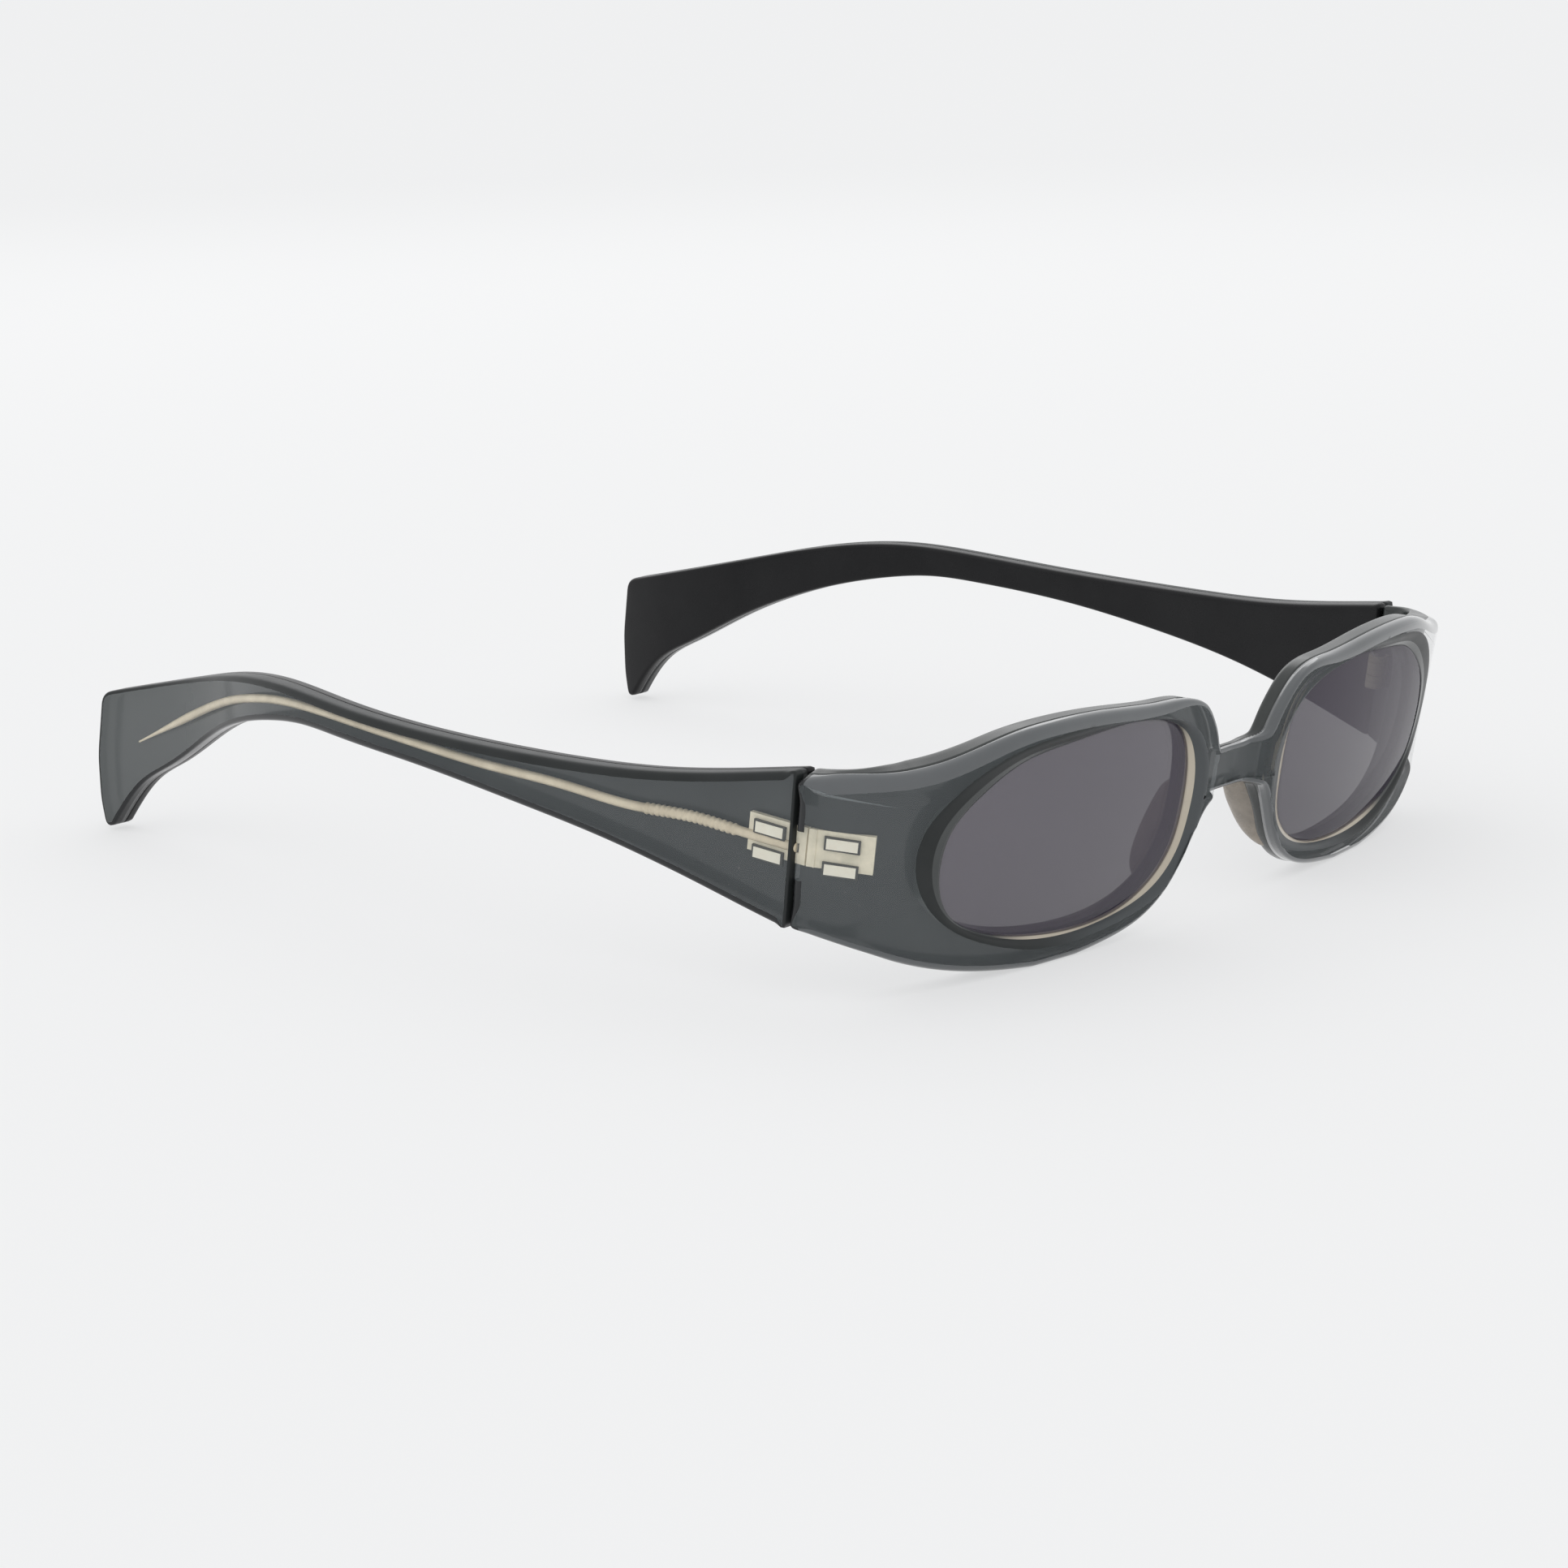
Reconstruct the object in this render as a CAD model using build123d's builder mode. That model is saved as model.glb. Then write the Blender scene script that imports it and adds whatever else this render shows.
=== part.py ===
from build123d import *
import math
import os

# Wraparound sunglasses: a laminated plastic front with two lenses and two fin nose pads,
# and two laminated temples with core wires, on two five-knuckle hinges sunk in the plastic.
# Millimetres and degrees. +X is the wearer's left, +Y runs back along the temples, +Z is up,
# and the glasses stand on the lower rims and on the two temple tips at Z = 0.

os.makedirs("parts", exist_ok=True)

# Outer face of the front seen from above, from the middle to the left end
bridge_radius = 8.6
bridge_turn = 28.0
cheek_radius = 42.4
cheek_turn = -29.3
face_radius = 77.3
face_turn = 25.4
corner_radius = 8.0
corner_turn = 24.2
side_radius = 58.9
side_turn = 6.4
lip_radius = 7.0
front_tilt_share = 0.20

# Layers of the front, each from the outer face inwards
face_layer_depth = 1.7
front_depth = 4.8
back_extra_angle = 3.0
back_end_radius = 5.0

# Heights of the front's outline over the floor
front_height = 31.95
bridge_top = 23.0
bridge_bottom = 19.3
foot_length = 7.5

# Temples seen from above, from the seam to the tip
temple_heading = 80.0
temple_radius = 313.9
temple_turn = 12.05
bow_radius = 123.3
bow_turn = 21.0
tip_radius = 54.1
tip_turn = -32.5
temple_outer_depth = 2.1
temple_depth = 3.9
temple_length = 140.4
temple_height = 29.0
tip_corner_radius = 2.5
tip_foot = 0.8
tip_toe = 0.8
tip_full_high = 11.0
tip_full_low = 4.5

# Lenses and their openings
lens_reach = 33.9
lens_height = 15.9
lens_wrap = 8.0
lens_set_back = 2.2
lens_radius = 150.0
lens_thickness = 1.5
lens_blank_angle = 24.0
opening_width = 42.4
opening_height = 26.4
lens_bed = 0.8
bezel_front = 2.5
bezel_back = 1.5
lens_fit = 0.05

# Nose pads
pad_length = 14.4
pad_depth = 3.8
pad_thickness = 2.3
pad_height = 10.9
pad_reach = 13.8
pad_lean = 20.0
pad_edge_radius = 0.9

# Hinges
hinge_height = 19.2
hinge_lean_share = 0.15
seam_gap = 0.25
knuckle_count = 5
knuckle_radius = 1.25
knuckle_height = 0.9
knuckle_gap = 0.06
knuckle_clearance = 0.10
knuckle_inset = 0.2
web_thickness = 0.9
plate_depth = 1.0
plate_thickness = 0.7
front_plate_length = 8.0
front_plate_heading = 58.3
temple_plate_length = 8.0
temple_plate_heading = 81.0
lug_length = 3.8
lug_height = 1.3
lug_stand = 0.45
lug_rise = 0.9
lug_drop = 2.3
front_lug_start = 2.2
temple_lug_start = 3.1
embed_fit = 0.02

# Hinge screws
screw_radius = 0.6
screw_fit = 0.05
screw_head_radius = 1.05
screw_head_height = 0.55
screw_slot_width = 0.25
screw_slot_depth = 0.25

# Core wires
wire_radius = 0.6
wire_depth = 1.15
wire_drop = 0.45
wire_end_radius = 0.25
wire_fit = 0.03
shank_length = 15.5
knurl_start = 8.6
knurl_pitch = 0.55
knurl_rings = 11
knurl_height = 0.08

# One length past every cut, and the allowance for the ends that the seam trims
overrun = 8.0


def turned(angle):
    """A unit direction in plan at an angle from +X towards +Y."""
    return Vector(math.cos(math.radians(angle)), math.sin(math.radians(angle)))


def along(chain, reach, depth=0):
    """The place at a length along a chain of tangent arcs, moved depth to its left."""
    place, heading, arcs = chain
    for radius, turn in arcs:
        step = min(math.radians(abs(turn)), max(reach, 0) / radius)
        reach = reach - radius * step
        bend = math.copysign(math.degrees(step), turn)
        centre = place + turned(heading + math.copysign(90, turn)) * radius
        heading = heading + bend
        place = centre - turned(heading + math.copysign(90, turn)) * radius
    return place + turned(heading + 90) * depth


def chain_length(chain):
    """The whole length of a chain of tangent arcs."""
    return sum(radius * math.radians(abs(turn)) for radius, turn in chain[2])


def draw_chain(chain, depth, lead=0):
    """Draws a chain of tangent arcs, depth to its left, with a straight end past the last."""
    place, heading, arcs = chain
    here = place + turned(heading + 90) * depth
    if lead:
        Line(here - turned(heading) * lead, here)
    for radius, turn in arcs:
        bent = radius - math.copysign(depth, turn)
        here = JernArc(start=here, tangent=turned(heading), radius=bent, arc_size=turn) @ 1
        heading = heading + turn
    return Line(here, here + turned(heading) * overrun) @ 1


def at_shares(shares, width, height, start=0):
    """Points given as shares of a width, counted from a start, and of a height."""
    return [(start + across * width, up * height) for across, up in shares]


# Plan chains, in a frame with its zero at the middle of the front's outer face
lip_turn = temple_heading - bridge_turn - cheek_turn - face_turn - corner_turn - side_turn
front_chain = (
    Vector(0, 0),
    0,
    [
        (bridge_radius, bridge_turn),
        (cheek_radius, cheek_turn),
        (face_radius, face_turn),
        (corner_radius, corner_turn),
        (side_radius, side_turn),
        (lip_radius, lip_turn),
    ],
)
back_chain = (
    Vector(0, 0),
    0,
    [
        (bridge_radius, bridge_turn),
        (cheek_radius, cheek_turn),
        (face_radius, face_turn + back_extra_angle),
        (front_depth + back_end_radius, corner_turn + side_turn + lip_turn - back_extra_angle),
    ],
)
front_end = along(front_chain, chain_length(front_chain))
seam_x = front_end.X
seam_y = front_end.Y - front_tilt_share * hinge_height
temple_chain = (
    Vector(seam_x, seam_y + seam_gap),
    temple_heading,
    [(temple_radius, temple_turn), (bow_radius, bow_turn), (tip_radius, tip_turn)],
)

# The middle of the front's outer face lies forward of the middle of the whole length
front_y = (front_tilt_share * bridge_top - seam_y - temple_length) / 2

floor_view = Plane(origin=(0, front_y, 0), x_dir=(1, 0, 0), z_dir=(0, 0, 1))
front_view = Plane(origin=(0, front_y, 0), x_dir=(1, 0, 0), z_dir=(0, -1, 0))
side_view = Plane(origin=(0, front_y, 0), x_dir=(0, 1, 0), z_dir=(1, 0, 0))
front_up = Vector(0, -front_tilt_share, 1)
hinge_plane = Plane(
    origin=(0, front_y + seam_y, hinge_height),
    x_dir=(1, 0, 0),
    z_dir=(0, -hinge_lean_share, 1),
)

# Front outline: half of it, as shares of the half width and of the height
bridge_top_shares = [(0.078, 0.737), (0.122, 0.786)]
brow_shares = [
    (0.172, 0.910),
    (0.205, 0.945),
    (0.290, 0.968),
    (0.420, 0.989),
    (0.570, 1.000),
    (0.700, 0.977),
    (0.820, 0.930),
    (0.940, 0.905),
    (1.080, 0.885),
]
jaw_shares = [
    (1.080, 0.390),
    (0.950, 0.220),
    (0.860, 0.130),
    (0.740, 0.055),
]
foot_end_share = 0.560
nasal_shares = [
    (0.323, 0.036),
    (0.240, 0.090),
    (0.194, 0.180),
    (0.164, 0.300),
    (0.141, 0.425),
    (0.122, 0.535),
    (0.080, 0.585),
]

# Temple outline: shares of the length from the seam and of the height at the seam
temple_top_shares = [
    (-0.060, 1.020),
    (0.022, 0.980),
    (0.080, 0.943),
    (0.137, 0.915),
    (0.252, 0.902),
    (0.3105, 0.907),
    (0.426, 0.928),
    (0.5425, 0.970),
    (0.636, 1.000),
    (0.7125, 0.976),
    (0.822, 0.874),
    (0.989, 0.697),
]
temple_bottom_shares = [
    (0.936, 0.274),
    (0.894, 0.380),
    (0.822, 0.562),
    (0.7125, 0.756),
    (0.657, 0.808),
    (0.600, 0.833),
    (0.5425, 0.818),
    (0.426, 0.764),
    (0.3105, 0.680),
    (0.195, 0.569),
    (0.0795, 0.408),
    (-0.060, 0.205),
]

# Lens outline: shares of its half width and half height, from the temple side over the top
lens_outline_shares = [
    (1.000, 0.040),
    (0.905, 0.450),
    (0.640, 0.800),
    (0.272, 0.958),
    (-0.200, 1.000),
    (-0.620, 0.970),
    (-0.850, 0.820),
    (-0.945, 0.500),
    (-0.985, 0.000),
    (-0.930, -0.450),
    (-0.740, -0.790),
    (-0.330, -0.975),
    (0.120, -0.985),
    (0.558, -0.795),
    (0.870, -0.430),
]

# Bezel: the same places on the dished edge in front of the lens, wide on the temple side
bezel_shares = [
    (1.365, 0.040),
    (1.235, 0.520),
    (0.840, 0.900),
    (0.310, 1.020),
    (-0.200, 1.045),
    (-0.640, 1.015),
    (-0.885, 0.860),
    (-0.980, 0.520),
    (-1.015, 0.000),
    (-0.960, -0.470),
    (-0.765, -0.825),
    (-0.340, -1.020),
    (0.150, -1.035),
    (0.720, -0.900),
    (1.170, -0.510),
]

# Core wire: places as shares of the temple's length and of its height at the seam
wire_shares = [
    (0.175, 0.741),
    (0.253, 0.786),
    (0.341, 0.818),
    (0.427, 0.857),
    (0.497, 0.889),
    (0.556, 0.910),
    (0.608, 0.917),
    (0.656, 0.907),
    (0.7025, 0.878),
    (0.747, 0.838),
    (0.789, 0.788),
    (0.837, 0.716),
    (0.886, 0.624),
]
wire_tail_share = 0.068


def front_outline():
    """The front's outline seen from the face, as a block from its nose to past the seam."""
    with BuildPart() as outline:
        with BuildSketch(front_view):
            with BuildLine():
                rise_points = at_shares(bridge_top_shares, seam_x, front_height)
                rise = Spline((0, bridge_top), *rise_points, tangents=[(1, 0), turned(62)])
                brow_points = at_shares(brow_shares, seam_x, front_height)
                Line(rise @ 1, brow_points[0])
                Spline(*brow_points)
                jaw_points = at_shares(jaw_shares, seam_x, front_height)
                Line(brow_points[-1], jaw_points[0])
                foot_end = foot_end_share * seam_x
                Spline(*jaw_points, (foot_end, 0))
                Line((foot_end, 0), (foot_end - foot_length, 0))
                nasal_points = at_shares(nasal_shares, seam_x, front_height)
                Spline(
                    (foot_end - foot_length, 0),
                    *nasal_points,
                    (0, bridge_bottom),
                    tangents=[(-1, 0), (-1, 0)],
                )
                mirror(about=Plane.YZ)
            make_face()
        extrude(amount=front_height, both=True)
    return outline.part


def front_band(near_chain, near_depth, far_chain, far_depth):
    """The curved sheet between two plan lines, leaning back with the face."""
    below = Plane(
        origin=(0, front_y + front_tilt_share * overrun, -overrun),
        x_dir=(1, 0, 0),
        z_dir=(0, 0, 1),
    )
    with BuildPart() as band:
        with BuildSketch(below):
            with BuildLine():
                near_end = draw_chain(near_chain, near_depth)
                far_end = draw_chain(far_chain, far_depth)
                Line(near_end, far_end)
                mirror(about=Plane.YZ)
            make_face()
        extrude(amount=(front_height + 2 * overrun) * front_up.length, dir=front_up)
    return band.part


# Lens frame: on the outer face's middle of the lens, set back, leaning and wrapped with it
lens_middle = along(front_chain, lens_reach)
lens_wrap_share = math.tan(math.radians(lens_wrap))
lens_origin = Vector(
    lens_middle.X,
    front_y + lens_middle.Y + lens_set_back - front_tilt_share * lens_height,
    lens_height,
)
lens_plane = Plane(
    origin=lens_origin,
    x_dir=(1, lens_wrap_share, 0),
    z_dir=(lens_wrap_share, -1, -front_tilt_share),
)
lens_centre = lens_origin - lens_plane.z_dir * lens_radius
lens_edge_dir = lens_plane.z_dir.rotate(Axis((0, 0, 0), lens_plane.y_dir), -lens_blank_angle / 2)
lens_section = Plane(
    origin=lens_centre,
    x_dir=lens_edge_dir,
    z_dir=lens_edge_dir.cross(lens_plane.y_dir),
)


def lens_prism(grow):
    """A block with the outline of the lens opening, grown on every side."""
    with BuildPart() as prism:
        with BuildSketch(lens_plane):
            with BuildLine():
                half_width = opening_width / 2 + grow
                half_height = opening_height / 2 + grow
                Spline(*at_shares(lens_outline_shares, half_width, half_height), periodic=True)
            make_face()
        extrude(amount=front_depth + overrun, both=True)
    return prism.part


def bezel_cut():
    """The dished cut in front of a lens: its outline opens from the lens to the face."""
    half_width = opening_width / 2
    half_height = opening_height / 2
    with BuildPart() as dish:
        with BuildSketch(lens_plane.offset(-bezel_back)):
            with BuildLine():
                Spline(*at_shares(lens_outline_shares, half_width, half_height), periodic=True)
            make_face()
        with BuildSketch(lens_plane.offset(bezel_front)):
            with BuildLine():
                Spline(*at_shares(bezel_shares, half_width, half_height), periodic=True)
            make_face()
        loft()
    return dish.part


def lens_blank(slack):
    """The curved lens with its bedded edge, grown by a clearance."""
    outer = lens_radius + slack
    inner = lens_radius - lens_thickness - slack
    with BuildPart() as blank:
        with BuildSketch(lens_section):
            with BuildLine():
                bow = CenterArc((0, 0), outer, -lens_blank_angle / 2, lens_blank_angle)
                hollow = CenterArc((0, 0), inner, -lens_blank_angle / 2, lens_blank_angle)
                Line(bow @ 0, hollow @ 0)
                Line(bow @ 1, hollow @ 1)
            make_face()
        revolve(axis=Axis(lens_centre, lens_plane.y_dir), revolution_arc=lens_blank_angle)
        add(lens_prism(lens_bed + slack), mode=Mode.INTERSECT)
    return blank.part


with BuildPart() as lens:
    add(lens_blank(0))


# Hinge: plan places in its own frame, whose Y starts at the front's end face
stack_height = knuckle_count * knuckle_height + (knuckle_count - 1) * knuckle_gap
knuckle_pitch = knuckle_height + knuckle_gap
plate_x = seam_x - plate_depth
axis_x = seam_x - temple_depth - knuckle_inset - knuckle_radius
axis_y = seam_gap / 2
front_plate = (Vector(plate_x, 0), -turned(front_plate_heading), front_plate_length)
temple_plate = (Vector(plate_x, seam_gap), turned(temple_plate_heading), temple_plate_length)


def inward_of(ahead):
    """The direction square to a plate's run that points into the plastic."""
    return turned(math.degrees(math.atan2(ahead.Y, ahead.X)) + math.copysign(90, ahead.Y))


def block(points, low, high):
    """A solid on the hinge's frame with a plan outline, between two heights."""
    with BuildPart() as solid:
        with BuildSketch(hinge_plane.offset(low)):
            with BuildLine():
                Polyline(*points, close=True)
            make_face()
        extrude(amount=high - low)
    return solid.part


def plate_and_web(plate, slack):
    """A sunk plate along the outer face and the web that leads from it to the hinge's axis."""
    start, ahead, length = plate
    inward = inward_of(ahead)
    outer = start - inward * slack
    inner = outer + inward * (plate_thickness + 2 * slack)
    square = [
        outer - ahead * (outer.Y - start.Y) / ahead.Y,
        outer + ahead * (length + slack),
        inner + ahead * (length + slack),
        inner - ahead * (inner.Y - start.Y) / ahead.Y,
    ]
    web_end = start.Y + math.copysign(web_thickness + slack, ahead.Y)
    web = [
        (axis_x, start.Y),
        (start.X - plate_thickness / 2, start.Y),
        (start.X - plate_thickness / 2, web_end),
        (axis_x, web_end),
    ]
    with BuildPart() as metal:
        add(block(square, -stack_height / 2 - slack, stack_height / 2 + slack))
        add(block(web, -stack_height / 2 - slack, stack_height / 2 + slack))
    return metal.part


def lugs(plate, first, slack):
    """The two blocks staked on a plate's outer face."""
    start, ahead, _ = plate
    inward = inward_of(ahead)
    near = start + ahead * (first - slack) - inward * (lug_stand + slack)
    run = ahead * (lug_length + 2 * slack)
    deep = inward * (lug_stand + slack)
    with BuildPart() as pair:
        for middle in (lug_rise, -lug_drop):
            low = middle - lug_height / 2 - slack
            high = middle + lug_height / 2 + slack
            add(block([near, near + run, near + run + deep, near + deep], low, high))
    return pair.part


def level(number):
    """The height of a knuckle's lower face on the hinge's frame, counted from the lowest."""
    return number * knuckle_pitch - stack_height / 2


def barrel(low, high, radius):
    """A round solid on the hinge's axis between two heights."""
    with BuildPart() as round_solid:
        with BuildSketch(hinge_plane.offset(low)):
            with Locations((axis_x, axis_y)):
                Circle(radius)
        extrude(amount=high - low)
    return round_solid.part


def hinge_leaf(plate, own_levels, other_levels):
    """A plate, its web and its knuckles, cut clear of the other leaf's knuckles."""
    with BuildPart() as leaf:
        add(plate_and_web(plate, 0))
        for number in other_levels:
            low = level(number) - knuckle_gap
            high = level(number + 1)
            add(barrel(low, high, knuckle_radius + knuckle_clearance), mode=Mode.SUBTRACT)
        for number in own_levels:
            add(barrel(level(number), level(number) + knuckle_height, knuckle_radius))
        hole = screw_radius + screw_fit
        add(barrel(-stack_height, stack_height, hole), mode=Mode.SUBTRACT)
    return leaf.part


front_levels = range(0, knuckle_count, 2)
temple_levels = range(1, knuckle_count, 2)

with BuildPart() as front_hinge_leaf:
    add(hinge_leaf(front_plate, front_levels, temple_levels))

# The temple's plate is slotted for the core wire
slot_start = Vector(plate_x - plate_thickness, seam_gap + web_thickness)
slot_end = slot_start + Vector(0, temple_plate_length)
slot_side = Vector(overrun / 2, 0)
slot_low = -wire_drop - wire_radius - wire_fit
slot_high = -wire_drop + wire_radius + wire_fit
slot = [slot_start - slot_side, slot_start + slot_side, slot_end + slot_side, slot_end - slot_side]
wire_slot = block(slot, slot_low, slot_high)

with BuildPart() as temple_hinge_leaf:
    add(hinge_leaf(temple_plate, temple_levels, front_levels))
    add(wire_slot, mode=Mode.SUBTRACT)

with BuildPart() as front_anchor_lugs:
    add(lugs(front_plate, front_lug_start, 0))

with BuildPart() as temple_anchor_lugs:
    add(lugs(temple_plate, temple_lug_start, 0))

with BuildPart() as hinge_screw:
    add(barrel(-stack_height / 2, stack_height / 2, screw_radius))
    add(barrel(stack_height / 2, stack_height / 2 + screw_head_height, screw_head_radius))
    with BuildSketch(hinge_plane.offset(stack_height / 2 + screw_head_height)):
        with Locations((axis_x, axis_y)):
            Rectangle(3 * screw_head_radius, screw_slot_width)
    extrude(amount=-screw_slot_depth, mode=Mode.SUBTRACT)


def wire_place(share, up):
    """A point of the core wire in the left temple."""
    place = along(temple_chain, share * temple_length, wire_depth)
    return Vector(place.X, front_y + place.Y, up * temple_height)


def shank_place(reach):
    """A point of the wire's straight shank, which runs along the hinge's frame."""
    place = along(temple_chain, reach, wire_depth)
    lean = hinge_lean_share * (place.Y - seam_y)
    drop = wire_drop * math.sqrt(1 + hinge_lean_share**2)
    return Vector(place.X, front_y + place.Y, hinge_height + lean - drop)


wire_points = [shank_place(0), shank_place(shank_length)]
wire_points += [wire_place(share, up) for share, up in wire_shares]
wire_radii = []
for before, corner, after in zip(wire_points, wire_points[1:], wire_points[2:]):
    half_turn = math.radians((corner - before).get_angle(after - corner)) / 2
    shorter = min((corner - before).length, (after - corner).length)
    wire_radii.append(0.45 * shorter / math.tan(half_turn))
print("core wire radii", [round(radius, 1) for radius in wire_radii])


def core_wire(slack):
    """The wire from the hinge's web to its drawn-out tip, with a knurled shank."""
    with BuildPart() as wire:
        with BuildLine() as path:
            FilletPolyline(*wire_points, radius=wire_radii)
        with BuildSketch(Plane(origin=path.line @ 0, z_dir=path.line % 0)):
            Circle(wire_radius + slack)
        sweep(path=path.line)
        tail = Plane(origin=path.line @ 1, z_dir=path.line % 1)
        with BuildSketch(tail):
            Circle(wire_radius + slack)
        with BuildSketch(tail.offset(wire_tail_share * temple_length)):
            Circle(wire_end_radius + slack)
        loft()
        run = (wire_points[1] - wire_points[0]).normalized()
        knurled = Plane(origin=wire_points[0] + run * knurl_start, x_dir=run, z_dir=(0, 0, 1))
        crest = wire_radius + knurl_height + slack
        knurl_length = knurl_rings * knurl_pitch
        with BuildSketch(knurled):
            with BuildLine():
                if slack:
                    teeth = Polyline((0, crest), (knurl_length, crest))
                else:
                    ridges = [(0, wire_radius)]
                    for ring in range(knurl_rings):
                        ridges.append(((ring + 0.5) * knurl_pitch, crest))
                        ridges.append(((ring + 1) * knurl_pitch, wire_radius))
                    teeth = Polyline(*ridges)
                Polyline(teeth @ 1, (knurl_length, 0), (0, 0), teeth @ 0)
            make_face()
        revolve(axis=Axis(knurled.origin, run))
    return wire.part


with BuildPart() as wire_blank:
    add(core_wire(0))
with BuildPart() as core_wire_left:
    add(wire_blank.part)
    add(plate_and_web(temple_plate, 0), mode=Mode.SUBTRACT)


def sunk_metal(plate, first):
    """The pocket for a plate, its web and its lugs."""
    with BuildPart() as pocket:
        add(plate_and_web(plate, embed_fit))
        add(lugs(plate, first, embed_fit))
    return pocket.part


front_seam = Plane(origin=hinge_plane.origin, z_dir=hinge_plane.y_dir)
temple_seam = front_seam.offset(seam_gap)


def front_layer(near_chain, near_depth, far_chain, far_depth):
    """One layer of the front with its lens openings and its pockets."""
    band = front_band(near_chain, near_depth, far_chain, far_depth)
    outline = front_outline()
    cuts = (
        lens_prism(0),
        bezel_cut(),
        lens_blank(lens_fit),
        sunk_metal(front_plate, front_lug_start),
    )
    with BuildPart() as layer:
        add(band)
        add(outline, mode=Mode.INTERSECT)
        split(bisect_by=front_seam, keep=Keep.BOTTOM)
        for cut in cuts:
            add(cut, mode=Mode.SUBTRACT)
            mirror(cut, about=Plane.YZ, mode=Mode.SUBTRACT)
    return layer.part


with BuildPart() as front_face_layer:
    add(front_layer(front_chain, 0, front_chain, face_layer_depth))

with BuildPart() as front_back_layer:
    add(front_layer(front_chain, face_layer_depth, back_chain, front_depth))

# Nose pads: fins that carry on the rims' nasal edges, fitted to the back's curve
pad_root = along(front_chain, pad_reach, front_depth)
lean_sine = math.sin(math.radians(pad_lean))
lean_cosine = math.cos(math.radians(pad_lean))
pad_plane = Plane(
    origin=(pad_root.X, front_y + pad_root.Y - front_tilt_share * pad_height, pad_height),
    x_dir=(lean_sine, front_tilt_share * lean_cosine, -lean_cosine),
    z_dir=(lean_cosine, 0, lean_sine),
)
with BuildPart() as nose_pad:
    with BuildSketch(pad_plane):
        with BuildLine():
            rear = ThreePointArc((-pad_length / 2, 0), (0, pad_depth), (pad_length / 2, 0))
            Polyline(
                rear @ 1,
                (pad_length / 2, -front_depth / 2),
                (-pad_length / 2, -front_depth / 2),
                rear @ 0,
            )
        make_face()
    extrude(amount=pad_thickness / 2, both=True)
    fillet(nose_pad.edges().filter_by(GeomType.CIRCLE), pad_edge_radius)
    add(front_band(front_chain, 0, back_chain, front_depth), mode=Mode.SUBTRACT)


def temple_outline():
    """The temple's outline seen from the side, as a block out to past the bow."""
    with BuildPart() as outline:
        with BuildSketch(side_view) as profile:
            with BuildLine():
                height = temple_height
                top = at_shares(temple_top_shares, temple_length, height, seam_y)
                bottom = at_shares(temple_bottom_shares, temple_length, height, seam_y)
                tip = seam_y + temple_length
                toe = (tip - tip_toe, 0)
                heel = (tip - tip_toe - tip_foot, 0)
                Spline(*top)
                Polyline(top[-1], (tip, tip_full_high), (tip, tip_full_low), toe, heel)
                Spline(heel, *bottom)
                Line(bottom[-1], top[0])
            make_face()
            corner = profile.vertices().sort_by_distance(top[-1])[0]
            fillet(corner, tip_corner_radius)
        extrude(amount=2 * seam_x)
    return outline.part


def temple_layer(near_depth, far_depth):
    """One layer of the left temple with its share of the pockets."""
    outline = temple_outline()
    pockets = (sunk_metal(temple_plate, temple_lug_start), core_wire(wire_fit))
    with BuildPart() as layer:
        with BuildSketch(floor_view):
            with BuildLine():
                near_end = draw_chain(temple_chain, near_depth, overrun)
                far_end = draw_chain(temple_chain, far_depth, overrun)
                Line(near_end, far_end)
                start = temple_chain[0] - turned(temple_heading) * overrun
                left = turned(temple_heading + 90)
                Line(start + left * near_depth, start + left * far_depth)
            make_face()
        extrude(amount=temple_height + overrun)
        add(outline, mode=Mode.INTERSECT)
        split(bisect_by=temple_seam, keep=Keep.TOP)
        for pocket in pockets:
            add(pocket, mode=Mode.SUBTRACT)
    return layer.part


with BuildPart() as temple_outer_layer:
    add(temple_layer(0, temple_outer_depth))

with BuildPart() as temple_inner_layer:
    add(temple_layer(temple_outer_depth, temple_depth))

left_pieces = {
    "lens": lens,
    "nose_pad": nose_pad,
    "front_hinge_leaf": front_hinge_leaf,
    "front_anchor_lugs": front_anchor_lugs,
    "hinge_screw": hinge_screw,
    "temple_outer_layer": temple_outer_layer,
    "temple_inner_layer": temple_inner_layer,
    "core_wire": core_wire_left,
    "temple_hinge_leaf": temple_hinge_leaf,
    "temple_anchor_lugs": temple_anchor_lugs,
}
finished = {"front_face_layer": front_face_layer.part, "front_back_layer": front_back_layer.part}
for name, left_piece in left_pieces.items():
    with BuildPart() as right_piece:
        mirror(left_piece.part, about=Plane.YZ)
    finished[name + "_left"] = left_piece.part
    finished[name + "_right"] = right_piece.part

for name, piece in finished.items():
    piece.label = name
    export_step(piece, f"parts/{name}.step")
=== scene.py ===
import bmesh
import bpy
import math
import numpy as np
from mathutils import Matrix, Vector


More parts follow.
